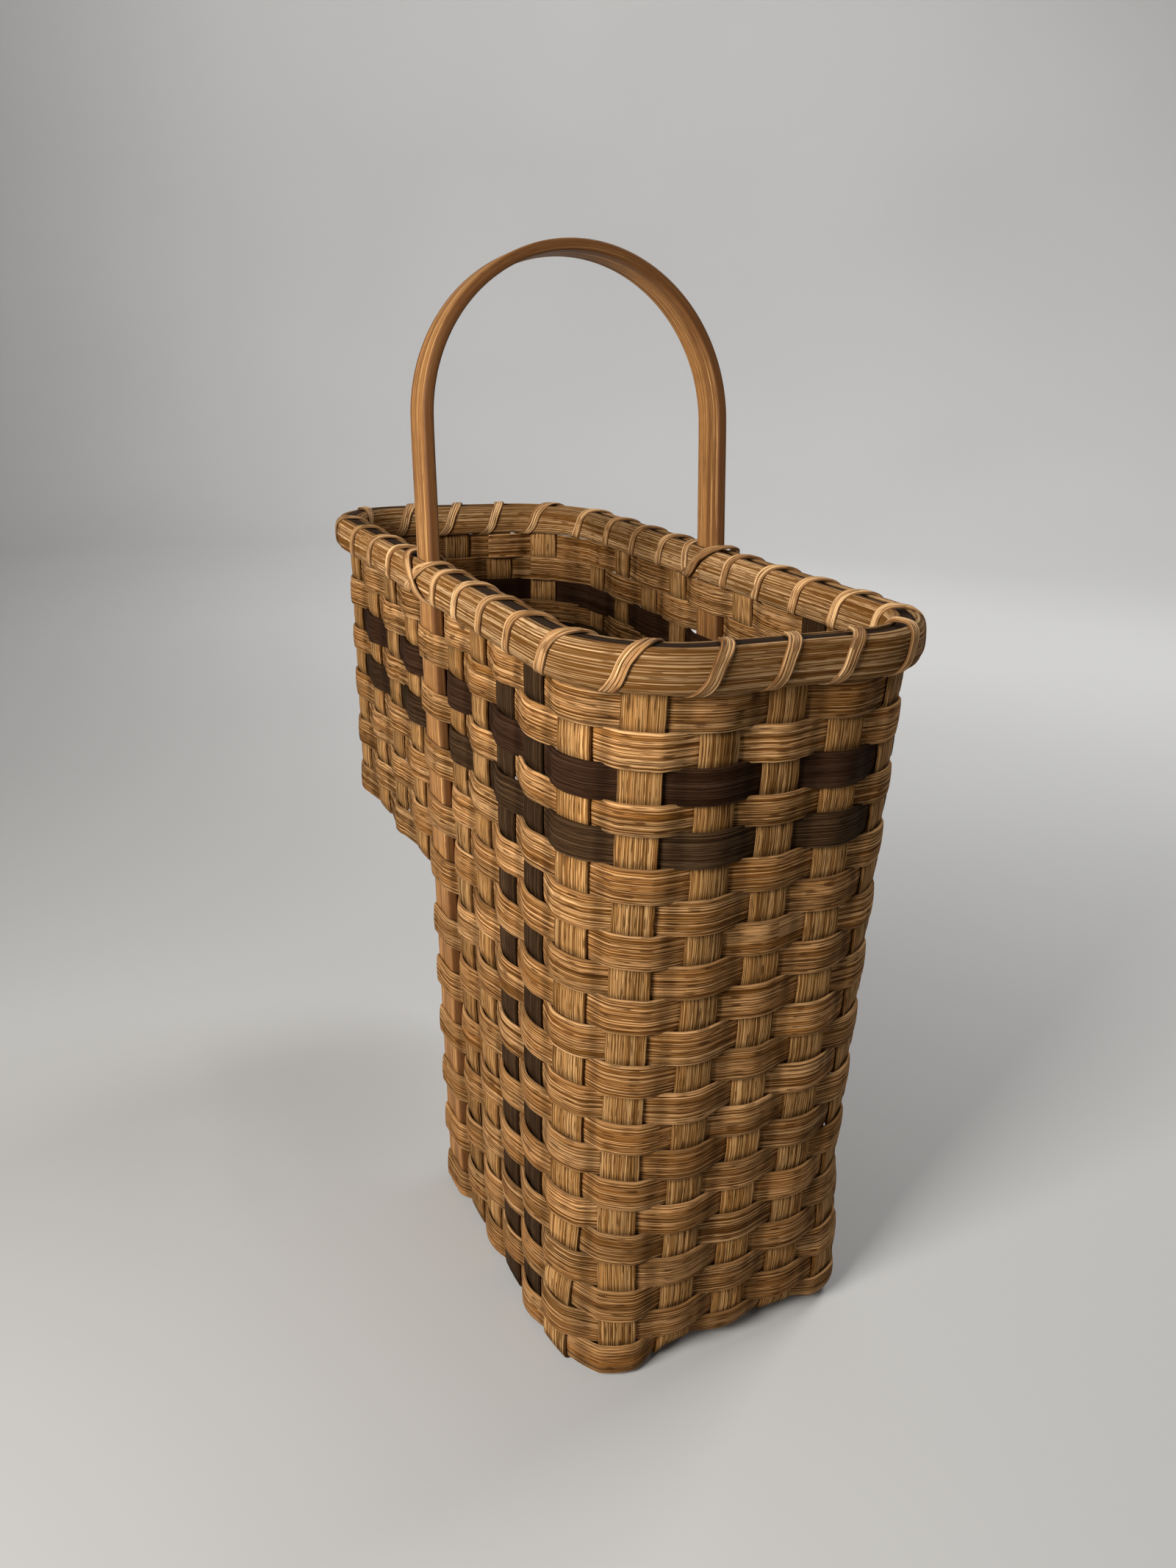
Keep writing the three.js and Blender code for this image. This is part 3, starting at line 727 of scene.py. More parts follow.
def fold_drift(upright, foot, ahead, radius, first):
    """How far sideways a stake lands that folds askew at its foot and then lies straight ahead."""
    inward = -upright.facing(foot)
    aside = inward - (inward @ ahead) * ahead
    run = float((first - upright.at(foot)) @ ahead) - radius * float(inward @ ahead)
    return aside * (radius + run / (1 + float(inward @ ahead)))


def bed_stations(crossings, across, direction, reach):
    """Stations of a stake over and under the stakes that it crosses in the base or the shelf."""
    stations = []
    for place, is_high in crossings:
        for step in (-1, 0, 1):
            at = place + direction * step * reach + UP * (LAYER_STEP if is_high else BED_CLEAR)
            stations.append((at, across, 1.0 if is_high else -1.0))
    return stations


def long_crossings(stakes, y, low, even, fold, ahead, radius, reach):
    """Where a long stake crosses the base's or the shelf's stakes, from its fold at a wall inwards.

    At a corner it folds askew, and it lies straight again after the last crossing."""
    count = sum(not stake["handle"] for stake in stakes)
    crossings = []
    for k, stake in enumerate(stakes):
        place = np.array((FRONT_PLANE - from_front_at(stake["offset"], low), y, low))
        if k == 0:
            drift = fold_drift(fold, low, ahead, radius, place - ahead * reach)
        is_high = not stake["handle"] and stake["index"] % 2 == int(even)
        crossings.append((place + drift * max(0, 1 - k / count)**2, is_high))
    return crossings


def long_stake_route(ribs, i, sizes):
    """A long stake's way: front wall, base, leg's back, shelf, end wall."""
    front, back, end = ribs.front[i], ribs.leg_back[i], ribs.end[i]
    even = STEPS[i] % 2 == 0
    reach = sizes.stake_width / 2 * BED_REACH
    body_rows, leg_rows = range(1, BODY_ROWS + 1), range(BODY_ROWS + 1, ROWS + 1)
    stations = wall_stations(front, 1, sizes, [*body_rows, *leg_rows])
    stations += turn_stations(front.at(LOW), DOWN, -front.facing(LOW), front.along(LOW), BASE_TURN)
    crossings = long_crossings(ribs.leg_side, back.at(LOW)[1], LOW, even, front, BACKWARDS,
                               BASE_TURN, reach)
    stations += bed_stations(crossings, LEFTWARDS, BACKWARDS, reach)
    climb = unit(back.at(SHELF_LOW) - back.at(LOW))
    stations += turn_stations(back.at(LOW), BACKWARDS, climb, LEFTWARDS, BASE_TURN)
    for row in reversed(leg_rows):
        sign = -1 if back.weaver_outside(row) else 1
        at = back.at(ROW_HEIGHT[row]) + BACKWARDS * sign * sizes.bow
        stations.append((at, LEFTWARDS, float(sign)))
    stations += turn_stations(back.at(SHELF_LOW), climb, BACKWARDS, LEFTWARDS, SHELF_TURN)
    crossings = long_crossings(ribs.side[LEG_STAKES + 1:][::-1], back.at(SHELF_LOW)[1], SHELF_LOW,
                               even, end, -BACKWARDS, SHELF_TURN, reach)
    stations += bed_stations(crossings[::-1], LEFTWARDS, BACKWARDS, reach)
    stations += turn_stations(end.at(SHELF_LOW), end.facing(SHELF_LOW), UP, -end.along(SHELF_LOW),
                              SHELF_TURN)
    stations += wall_stations(end, -1, sizes, body_rows)[::-1]
    return Route(stations)


def cross_stake_route(stake, sizes):
    """A cross stake's way: left side, base or shelf, right side."""
    on_shelf = stake["index"] > LEG_STAKES
    low = SHELF_LOW if on_shelf else LOW
    radius = SHELF_TURN if on_shelf else BASE_TURN
    rows = range(1, (BODY_ROWS if on_shelf else ROWS) + 1)
    left, right = stake["left"], stake["right"]
    reach = sizes.stake_width / 2 * BED_REACH
    stations = wall_stations(left, 1, sizes, rows)
    stations += turn_stations(left.at(low), DOWN, -left.facing(low), left.along(low), radius)
    pitch = FRONT_PITCH * half_width_at(low) / HALF_WIDTH
    x = FRONT_PLANE - from_front_at(stake["offset"], low)
    first = np.array((x, max(STEPS) * pitch + reach, low))
    drift = fold_drift(left, low, -LEFTWARDS, radius, first)
    crossings = []
    for step in reversed(STEPS):
        is_high = (step % 2 == 0) == (stake["index"] % 2 == 0)
        place = np.array((x, step * pitch, low)) + drift * abs(step) / max(STEPS)
        crossings.append((place, is_high))
    stations += bed_stations(crossings, BACKWARDS, -LEFTWARDS, reach)
    stations += turn_stations(right.at(low), right.facing(low), UP, -right.along(low), radius)
    stations += wall_stations(right, -1, sizes, rows)[::-1]
    return Route(stations)


def set_stake(node, route, index, slot, sizes, finishes):
    """Makes one stake along its route."""
    rng = random.Random(SEEDS["stake"] + index)
    blank = cut_blank(f"splint_{node}", "stake", route.length, sizes.stake_width,
                      sizes.stake_thickness, sizes.splint_ease)
    lay_splint(blank, route, index, wavy_edges(rng, sizes.ragged, sizes.cup * STAKE_DOME_SHARE))
    finish_piece(blank, node, finishes["stake_reed" if slot == "natural_reed" else slot])


# Rim -----------------------------------------------------------------------------------------


def rim_route(offset, height, outwards, start, stop):
    """The rim strips' way between two distances along the outline, at a height that y gives."""
    outline = Outline(RIM_MIDDLE)
    count = max(2, round(abs(stop - start) / RIM_STEP))
    across = UP if outwards else DOWN
    stations = []
    for s in np.linspace(start, stop, count + 1):
        x, y, _ = outline.point(float(s), offset)
        stations.append((np.array((x, y, height(y))), across, 1.0))
    return Route(stations)


def domed(height, edge_height, half, half_thickness):
    """A shape for lay_splint: flat below and a full round above, as of a halved reed."""

    def shape(s, y, z, share):
        """Moves the strip's points while it is straight."""
        spread = np.sin(share * math.pi / 2) * half
        round_ = (1 - np.clip(np.abs(spread / half), 0, 1)**RIM_ROUNDNESS)**(1 / RIM_ROUNDNESS)
        top = edge_height + (height - edge_height) * round_
        return spread, (z / half_thickness + 1) / 2 * top

    return shape


def make_rims(ribs, sizes, finishes):
    """Makes the outer and inner rim strips."""
    leg, _, girth = handle_span(sizes)
    seam = lashing_gaps(ribs)[SEAM_GAP]
    strips = (("rim_outer", seam, seam + girth), ("rim_inner_front", -leg, leg),
              ("rim_inner_rear", leg, girth - leg))
    for number, (node, start, stop) in enumerate(strips):
        outwards = node == "rim_outer"
        offset = RIM_SPREAD if outwards else -RIM_SPREAD
        route = rim_route(offset, lambda y: RIM_MIDDLE, outwards, start + SNUG, stop - SNUG)
        width = RIM_TOP - RIM_BASE
        blank = cut_blank(f"reed_{node}", "rim", route.length, width, STRIP_THICKNESS, STRIP_EASE)
        lay_splint(blank, route, GRAIN_START["rim"] + number,
                   domed(sizes.rim_thickness, STRIP_EDGE, width / 2, STRIP_THICKNESS / 2))
        finish_piece(blank, node, finishes["rim_reed"], ROUND_SMOOTH)


def handle_span(sizes):
    """Where the left handle leg crosses the rim: its middle, half its width, and the girth."""
    outline = Outline(RIM_MIDDLE)
    middle = outline.along_side(from_front_at(HANDLE_OFFSET, RIM_MIDDLE))
    half = sizes.handle_width / 2 + HANDLE_LEAN * (FILLER_TOP - RIM_BASE) / 2 + RIM_CLEAR
    return middle, half, outline.girth


def make_fillers(sizes, finishes):
    """Makes the dark filler between the rim strips, in two lengths."""
    middle, half, girth = handle_span(sizes)

    def middle_height(y):
        """The filler sits deeper on the left side than on the right."""
        share = FILLER_SINK_SHARE + (1 - FILLER_SINK_SHARE) * float(smooth(y, *FILLER_SINKS_FROM))
        return FILLER_TOP - FILLER_HEIGHT / 2 - FILLER_SINK * share

    runs = {"rim_filler_front": (half - middle, middle - half),
            "rim_filler_rear": (middle + half, girth - middle - half)}
    for number, (node, (start, stop)) in enumerate(runs.items()):
        route = rim_route(0.0, middle_height, True, start, stop)
        blank = cut_blank(f"strip_{node}", "filler", route.length, FILLER_HEIGHT,
                          2 * RIM_SPREAD - RIM_CLEAR, FILLER_EASE, 3)
        lay_splint(blank, route, GRAIN_START["filler"] + number)
        finish_piece(blank, node, finishes["rim_filler"], ROUND_SMOOTH)


# Lashing -------------------------------------------------------------------------------------


def lashing_gaps(ribs):
    """Middle of each gap between stakes under the rim, along the rim from the front wall's."""
    outline = Outline(RIM_MIDDLE)
    half_stake = ribs.sizes.stake_width / 2
    places = [(outline.along_end(step * FRONT_PITCH), half_stake) for step in STEPS]
    side = [(outline.along_side(from_front_at(s["offset"], RIM_BASE)), s["left"].width / 2)
            for s in ribs.side]
    places += side
    places += [(outline.half_girth - outline.along_end(step * FRONT_PITCH), half_stake)
               for step in reversed(STEPS)]
    places += [(outline.girth - s, half) for s, half in reversed(side)]
    gaps = []
    for i, (s, half) in enumerate(places):
        next_s, next_half = places[(i + 1) % len(places)]
        next_s += 0 if i + 1 < len(places) else outline.girth
        gaps.append((s + half + next_s - next_half) / 2)
    return gaps


def lashing_place(turn, proud, sizes):
    """How far out and how high the strand lies at a turn from 0 (under) over the outside.

    A half turn is over the top, and a whole one is back under the rim."""
    angle = -math.pi / 2 + turn * math.tau
    clear = sizes.lashing_thickness / 2 + LASH_CLEAR + proud
    reach = RIM_SPREAD + sizes.rim_thickness + clear
    up = (FILLER_TOP - RIM_MIDDLE) + clear
    down = (RIM_MIDDLE - RIM_BASE) + clear
    power = 2 / RIM_ROUNDNESS
    cos, sin = math.cos(angle), math.sin(angle)
    out = reach * math.copysign(abs(cos)**power, cos)
    rise = (up if sin > 0 else down) * math.copysign(abs(sin)**power, sin)
    n_out = math.copysign(abs(cos)**(2 - power), cos) / reach
    n_up = math.copysign(abs(sin)**(2 - power), sin) / (up if sin > 0 else down)
    size = math.hypot(n_out, n_up)
    return out, RIM_MIDDLE + rise, n_out / size, n_up / size


def lashing_route(ribs, sizes):
    """The lashing strand's way round the rim, with a crossing at each handle leg."""
    outline = Outline(RIM_MIDDLE)
    gaps = lashing_gaps(ribs)
    middle, half, girth = handle_span(sizes)
    legs = (middle, girth - middle)
    beside = half + sizes.lashing_width / 2 + 2 * RIM_CLEAR
    pair = (sizes.lashing_width + RIM_CLEAR) / 2
    skin = sizes.lashing_thickness + RIM_CLEAR
    rng = random.Random(SEEDS["lashing"])
    passes = []

    def run(turn_from, turn_to, s_from, s_to, proud, ease):
        """Adds one pass of the strand."""
        count = round(LASH_STEPS * (turn_to - turn_from))
        for k in range(count):
            t = k / count
            share = t if ease is None else float(smooth(t, *ease))
            passes.append((turn_from + (turn_to - turn_from) * t, s_from + (s_to - s_from) * share,
                           proud))

    start = gaps[0]
    for i, gap in enumerate(gaps):
        after = gaps[i + 1] if i + 1 < len(gaps) else gaps[0] + girth
        leg = next((s for s in legs if gap < s < after), None)
        if leg is None:
            stop = after + rng.uniform(-1, 1) * LASH_STRAY if i + 1 < len(gaps) else after
            run(0, 1, start, stop, 0.0, None)
            start = stop
            continue
        run(0, 0.5, start, leg + beside, 0.0, (0.05, 0.95))
        run(0.5, 1, leg + beside, after - pair, 0.0, (0.0, 0.8))
        run(0, 0.5, after - pair, leg - beside, skin, (0.05, 0.95))
        run(0.5, 1, leg - beside, after + pair, skin, (0.0, 1.0))
        start = after + pair
    places, normals = [], []
    for turn, s, proud in passes:
        edge = math.sin(math.pi * (turn % 1))
        out, z, n_out, n_up = lashing_place(turn, proud * edge, sizes)
        x, y, facing = outline.point(s, out)
        places.append(np.array((x, y, z)))
        normals.append(np.array((math.cos(facing) * n_out, math.sin(facing) * n_out, n_up)))
    places = np.array(places)
    tangents = np.gradient(places, axis=0)
    acrosses = np.cross(np.array(normals), tangents)
    return Route([(p, unit(a), 1.0) for p, a in zip(places, acrosses)])


def grooved(depth, ridges, half_thickness):
    """A shape for lay_splint: fine grooves along the strand's face."""

    def shape(s, y, z, share):
        """Moves the strand's points while it is straight."""
        groove = 0.5 - 0.5 * np.cos(share * math.pi * ridges)
        outer = (z / half_thickness + 1) / 2
        return y, z - outer * depth * (1 - groove) - LASH_DOME * share**2

    return shape


def make_lashing(ribs, sizes, finishes):
    """Makes the lashing strand."""
    route = lashing_route(ribs, sizes)
    blank = cut_blank("cane_lashing", "lashing", route.length, sizes.lashing_width,
                      sizes.lashing_thickness, LASH_EASE)
    lay_splint(blank, route, GRAIN_START["lashing"],
               grooved(LASH_GROOVE, LASH_RIDGES, sizes.lashing_thickness / 2))
    finish_piece(blank, "rim_lashing", finishes["lashing_cane"], ROUND_SMOOTH)


# Handle --------------------------------------------------------------------------------------


def handle_route(sizes):
    """The handle's way: from the middle of its bottom bar up the left leg, over and back."""
    half_depth = (sizes.handle_thickness + sizes.handle_width * HANDLE_LEAN) / 2
    bar = LOW + STAKE_THICKNESS / 2 + HANDLE_CLEAR + half_depth
    arch = HANDLE_TOP - half_depth - HALF_WIDTH
    foot = half_width_at(bar)
    slope = math.hypot(1, HANDLE_LEAN)
    across = -np.array((1 / slope, 0.0, HANDLE_LEAN / slope))
    points = [(0.0, bar), (foot * 0.5, bar), (foot - HANDLE_BEND * 1.4, bar)]
    for i in range(BEND_STEPS + 1):
        angle = math.pi / 2 * i / BEND_STEPS
        points.append((foot - HANDLE_BEND + HANDLE_BEND * math.sin(angle),
                       bar + HANDLE_BEND - HANDLE_BEND * math.cos(angle)))
    for share in LEG_SHARES:
        z = bar + HANDLE_BEND + (TOP_ROW - bar) * share
        points.append((half_width_at(z), z))
    points += [(HALF_WIDTH, TOP_ROW), (HALF_WIDTH, (TOP_ROW + arch) / 2)]
    for i in range(ARCH_STEPS + 1):
        angle = math.pi / 2 * i / ARCH_STEPS
        points.append((HALF_WIDTH * math.cos(angle), arch + HALF_WIDTH * math.sin(angle)))
    points += [(-y, z) for y, z in points[-2::-1]]
    stations = []
    for y, z in points:
        x = FRONT_PLANE - from_front_at(HANDLE_OFFSET, z)
        stations.append((np.array((x, y, z)), across, 1.0))
    return Route(stations)


def make_handle(sizes, finishes):
    """Makes the bent handle hoop."""
    route = handle_route(sizes)
    blank = cut_blank("bent_handle", "handle", route.length, sizes.handle_width,
                      sizes.handle_thickness, sizes.handle_ease, 4)
    lay_splint(blank, route, GRAIN_START["handle"])
    finish_piece(blank, "handle_hoop", finishes["handle_wood"], ROUND_SMOOTH)


# Finishes ------------------------------------------------------------------------------------


class Wire:
    """A shader socket that is used like a number: arithmetic on it adds Math nodes."""

    def __init__(self, finish, socket):
        self.finish = finish
        self.socket = socket

    def math(self, operation, *values):
        """Adds one Math node."""
        return self.finish.node("ShaderNodeMath", {"operation": operation},
                                dict(enumerate(values)))

    def __add__(self, other):
        return self.math("ADD", self, other)

    def __sub__(self, other):
        return self.math("SUBTRACT", self, other)

    def __rsub__(self, other):
        return self.math("SUBTRACT", other, self)

    def __mul__(self, other):
        return self.math("MULTIPLY", self, other)

    def __abs__(self):
        return self.math("ABSOLUTE", self)

    __radd__ = __add__
    __rmul__ = __mul__

    def ramp(self, low, high, start=0.0, end=1.0):
        """A soft step from start to end while this goes from low to high."""
        return self.finish.node(
            "ShaderNodeMapRange", {"interpolation_type": "SMOOTHSTEP", "clamp": True},
            {"Value": self, "From Min": low, "From Max": high, "To Min": start, "To Max": end})


class Finish:
    """One material, built node by node."""

    def __init__(self, name):
        self.material = bpy.data.materials.new(name)
        self.material.use_nodes = True
        self.tree = self.material.node_tree
        self.tree.nodes.clear()

    def node(self, kind, settings=None, sockets=None, output=0):
        """Adds a node, sets its settings and feeds its sockets; gives one of its outputs."""
        made = self.tree.nodes.new(kind)
        for key, value in (settings or {}).items():
            setattr(made, key, value)
        for key, value in (sockets or {}).items():
            target = made.inputs[key]
            if isinstance(value, Wire):
                self.tree.links.new(value.socket, target)
            elif target.type == "RGBA" and not isinstance(value, (int, float)):
                target.default_value = (*tuple(value)[:3], 1.0)
            else:
                target.default_value = value
        return Wire(self, made.outputs[output]) if made.outputs else None

    def blend(self, share, first, second, mode="MIX"):
        """Mixes two colours."""
        return self.node("ShaderNodeMix", {"data_type": "RGBA", "blend_type": mode},
                         {0: share, 6: first, 7: second}, 2)

    def streaks(self, colour, layers):
        """A colour under layers, each with its share of the surface and its own colour."""
        for share, tint in layers:
            colour = self.blend(share, colour, tint)
        return colour

    def shaded(self, colour, tone):
        """A colour times a brightness."""
        grey = self.node("ShaderNodeCombineColor", None, {0: tone, 1: tone, 2: tone})
        return self.blend(1.0, colour, grey, "MULTIPLY")

    def grain(self, along, across, detail=2.0, roughness=0.55, shift=(0.0, 0.0, 0.0)):
        """Noise that is drawn out along the splint: cells per metre along and across it."""
        place = self.node("ShaderNodeUVMap", {"uv_map": "grain"})
        scaled = self.node("ShaderNodeMapping", None,
                           {"Vector": place, "Scale": (along, across, 1.0), "Location": shift})
        return self.node("ShaderNodeTexNoise", {"noise_dimensions": "2D"},
                         {"Vector": scaled, "Scale": 1.0, "Detail": detail, "Roughness": roughness})

    def attribute(self, name):
        """A number stored on the mesh."""
        return self.node("ShaderNodeAttribute", {"attribute_name": name}, None, 2)

    def surface(self, colour, roughness, height, bump, distance, gloss):
        """Closes the material with a Principled shader."""
        normal = self.node("ShaderNodeBump", None,
                           {"Strength": bump, "Distance": distance, "Height": height})
        shader = self.node("ShaderNodeBsdfPrincipled", None,
                           {"Base Color": colour, "Roughness": roughness, "Normal": normal,
                            "Specular IOR Level": gloss})
        self.node("ShaderNodeOutputMaterial", None, {"Surface": shader})
        return self.material


def splint_finish(name, mid, pale, dark, patch, contrast=1, across=1200, edge_tone=0.2,
                  gloss=0.03, roughness=0.62):
    """Split reed: patches, long fibres, fine threads, thin dark veins and short dashes.

    Its edges are paler, partly as the reed's paler cut fibres and partly as a painted highlight, or
    darker as painted shade for a tone under 0, and painted shade darkens it where splints cross."""
    finish = Finish(name)
    broad = finish.grain(5, 70, 2.0)
    fibre = finish.grain(7, across, 1.0, 0.5, (3.1, 0.0, 0.0))
    thread = finish.grain(11, 2050, 0.0, 0.5, (0.0, 7.7, 0.0))
    vein = finish.grain(3.5, 620, 0.0, 0.5, (2.4, 6.1, 0.0))
    dash = finish.grain(110, 1900, 0.0, 0.5, (5.3, 2.2, 0.0))
    strand = finish.grain(1.4, 30, 1.0, 0.5, (9.0, 4.0, 0.0))
    edge = finish.attribute("edge").ramp(0.84, 1.0)
    # Painted shade: the colour darkens where the splint dips close to the splints that it crosses.
    crossing = 1 - abs(finish.attribute("lift")).ramp(0.1, 0.72)
    colour = finish.streaks(mid, (
        (broad.ramp(0.42, 0.64) * 0.7, patch),
        (fibre.ramp(0.5, 0.66) * (0.62 * contrast), dark),
        (fibre.ramp(0.48, 0.32) * (0.68 * contrast), pale),
        (thread.ramp(0.53, 0.65) * (0.3 * contrast), dark),
        (thread.ramp(0.46, 0.34) * (0.4 * contrast), pale),
        (abs(vein - 0.5).ramp(0.028, 0.008) * (0.6 * contrast), dark),
        (dash.ramp(0.62, 0.7) * (0.8 * contrast), dark),
        # Painted edge light: pale edges stand partly for the reed's paler cut fibres and partly for
        # a painted highlight; dark edges, for a tone under 0, are painted shade.
        (edge * abs(edge_tone), pale if edge_tone > 0 else dark),
    ))
    # Random tone along the splint, times up to 35 % painted shade at the crossings.
    tone = strand.ramp(0.3, 0.7, 0.8, 1.16) * (1 - crossing * 0.35)
    colour = finish.shaded(colour, tone)
    height = fibre * 0.7 + thread * 0.2 - dash.ramp(0.58, 0.7) * 0.25
    return finish.surface(colour, roughness + fibre * 0.2, height, 0.35, 0.3 * MM, gloss)


def wood_finish(name, mid, pale, dark):
    """Bent hardwood: long grain with broad bands and stains, thin veins, short dark pores and dark
    edges that are partly the wood's own and partly painted shade.
    """
    finish = Finish(name)
    broad = finish.grain(2.5, 150, 3.0)
    fibre = finish.grain(8, 900, 3.0, 0.6, (2.0, 1.0, 0.0))
    vein = finish.grain(5, 420, 1.0, 0.5, (7.0, 5.0, 0.0))
    pore = finish.grain(100, 2600, 1.0, 0.5, (4.0, 3.0, 0.0))
    edge = finish.attribute("edge").ramp(0.9, 1.0)
    stain = finish.grain(11, 34, 2.0, 0.6, (1.0, 8.0, 0.0))
    colour = finish.streaks(mid, (
        (broad.ramp(0.42, 0.62) * 0.55, dark),
        (stain.ramp(0.48, 0.66) * 0.3, dark),
        (fibre.ramp(0.46, 0.3) * 0.75, pale),
        (fibre.ramp(0.54, 0.7) * 0.6, dark),
        (abs(vein - 0.5).ramp(0.035, 0.01) * 0.45, dark),
        (pore.ramp(0.6, 0.7) * 0.6, dark),
        # Dark edges: partly the wood's own darker edge, partly painted shade on the narrow faces.
        (edge * 0.8, dark),
    ))
    height = fibre * 0.5 - pore.ramp(0.58, 0.7) * 0.3
    return finish.surface(colour, 0.48 + fibre * 0.2, height, 0.4, 0.25 * MM, 0.15)


def make_finishes(colours):
    """Every material by the record's slot, and one of its own for the undyed stakes."""
    return {
        "natural_reed": splint_finish("natural reed", colours.reed, colours.reed_pale,
                                      colours.reed_dark, colours.reed_patch),
        # The stakes' dark edges are painted shade.
        "stake_reed": splint_finish("stake reed", colours.stake, colours.stake_pale,
                                    colours.reed_dark, colours.reed_patch, contrast=0.9,
                                    across=1600, edge_tone=-0.4),
        "dyed_reed_brown": splint_finish("brown reed", colours.brown, colours.brown_pale,
                                         colours.brown_dark, colours.brown, contrast=0.75,
                                         across=1300, edge_tone=0.1),
        "dyed_reed_plum": splint_finish("plum reed", colours.plum, colours.plum_pale,
                                        colours.plum_dark, colours.plum, contrast=0.7,
                                        across=1300, edge_tone=0.1),
        "rim_reed": splint_finish("rim reed", colours.rim, colours.rim_pale, colours.rim_dark,
                                  colours.reed_patch, contrast=0.8, across=1500, edge_tone=0),
        "rim_filler": splint_finish("rim filler", colours.filler, colours.brown_pale,
                                    colours.brown_dark, colours.filler, contrast=0.4,
                                    across=1300, edge_tone=0, roughness=0.7),
        # The strand's dark edges are painted shade.
        "lashing_cane": splint_finish("lashing cane", colours.cane, colours.cane_pale,
                                      colours.cane_dark, colours.cane, across=1400,
                                      edge_tone=-0.75, gloss=0.08, roughness=0.55),
        "handle_wood": wood_finish("handle wood", colours.handle, colours.handle_pale,
                                   colours.handle_dark),
    }


FINISHES = {}


def existing_finishes(colours):
    """The materials, made on first use."""
    if not FINISHES:
        FINISHES.update(make_finishes(colours))
    return FINISHES


# Sizes, colours and stage settings -----------------------------------------------------------


def length_property(name, description, default):
    """A size in metres."""
    return bpy.props.FloatProperty(name=name, description=description, default=default,
                                   unit="LENGTH", subtype="DISTANCE", precision=5)


def colour_property(name, description, default):
    """A linear colour."""
    return bpy.props.FloatVectorProperty(name=name, description=description, default=default,
                                         subtype="COLOR", size=3, min=0, max=1)


class BasketSizes(bpy.types.PropertyGroup):
    """Sizes of the splints, the rim and the handle."""

    stake_width: length_property("Stake width", "Width of a stake", 19 * MM)
    stake_thickness: length_property("Stake thickness", "Thickness of a stake", STAKE_THICKNESS)
    weaver_width: length_property("Weaver width", "Width of a weaver", 17.0 * MM)
    narrow_weaver_width: length_property("Narrow weaver width", "Width of the fourth row",
                                         14.5 * MM)
    weaver_thickness: length_property("Weaver thickness", "Thickness of a weaver", 1.4 * MM)
    splint_ease: length_property("Eased edge", "Rounding of a splint's edges", 0.32 * MM)
    crown: length_property("Crown", "Rise of a weaver over a stake", 1.5 * MM)
    slack: length_property("Slack", "Gap between a stake and the rows behind it", 0.3 * MM)
    bow: length_property("Bow", "How far rows push a stake", 0.45 * MM)
    wander: length_property("Wander", "How far a weaver strays up or down", 0.22 * MM)
    cup: length_property("Dome", "Rise of a splint's face over its edges", 0.45 * MM)
    ragged: length_property("Ragged edge", "How far a splint's edges waver", 0.1 * MM)
    tilt: bpy.props.FloatProperty(name="Tilt", description="Lean of a weaver at a stake",
                                  default=0.03)
    rim_thickness: length_property("Rim thickness", "Thickness of a rim strip", 5 * MM)
    lashing_width: length_property("Lashing width", "Width of the lashing strand", 6.2 * MM)
    lashing_thickness: length_property("Lashing thickness", "Thickness of the strand", 1.4 * MM)
    handle_width: length_property("Handle width", "Width of the handle", 23 * MM)
    handle_thickness: length_property("Handle thickness", "Thickness of the handle", 6 * MM)
    handle_ease: length_property("Handle ease", "Rounding of the handle's edges", 1.5 * MM)


class BasketColours(bpy.types.PropertyGroup):
    """Colours of the reeds, the cane and the wood."""

    reed: colour_property("Reed", "Natural reed", (0.218, 0.0845, 0.0158))
    reed_pale: colour_property("Pale reed", "Pale fibres", (0.63, 0.372, 0.170))
    reed_dark: colour_property("Dark reed", "Dark fibres", (0.046, 0.017, 0.004))
    reed_patch: colour_property("Reed patches", "Brownish patches", (0.125, 0.052, 0.009))
    stake: colour_property("Stakes", "Reed of the stakes", (0.272, 0.121, 0.030))
    stake_pale: colour_property("Pale stakes", "Pale fibres of the stakes", (0.65, 0.395, 0.172))
    brown: colour_property("Brown reed", "Brown dyed reed", (0.028, 0.0132, 0.0047))
    brown_pale: colour_property("Pale brown", "Pale lines of brown reed", (0.100, 0.058, 0.029))
    brown_dark: colour_property("Dark brown", "Dark lines of brown reed", (0.012, 0.006, 0.003))
    plum: colour_property("Plum reed", "Plum dyed reed", (0.029, 0.0124, 0.0050))
    plum_pale: colour_property("Pale plum", "Pale lines of plum reed", (0.074, 0.040, 0.023))
    plum_dark: colour_property("Dark plum", "Dark lines of plum reed", (0.012, 0.004, 0.002))
    rim: colour_property("Rim", "Reed of the rim", (0.175, 0.072, 0.015))
    rim_pale: colour_property("Pale rim", "Pale fibres of the rim", (0.72, 0.48, 0.250))
    rim_dark: colour_property("Dark rim", "Dark fibres of the rim", (0.085, 0.033, 0.008))
    filler: colour_property("Filler", "Filler between the rim strips", (0.019, 0.0105, 0.006))
    cane: colour_property("Cane", "Lashing strand", (0.410, 0.210, 0.078))
    cane_pale: colour_property("Pale cane", "Pale lines of the strand", (0.80, 0.54, 0.28))
    cane_dark: colour_property("Dark cane", "Dark lines of the strand", (0.085, 0.033, 0.009))
    handle: colour_property("Handle", "Handle wood", (0.330, 0.152, 0.046))
    handle_pale: colour_property("Pale handle", "Pale grain of the handle", (0.62, 0.345, 0.130))
    handle_dark: colour_property("Dark handle", "Dark grain of the handle", (0.100, 0.037, 0.011))


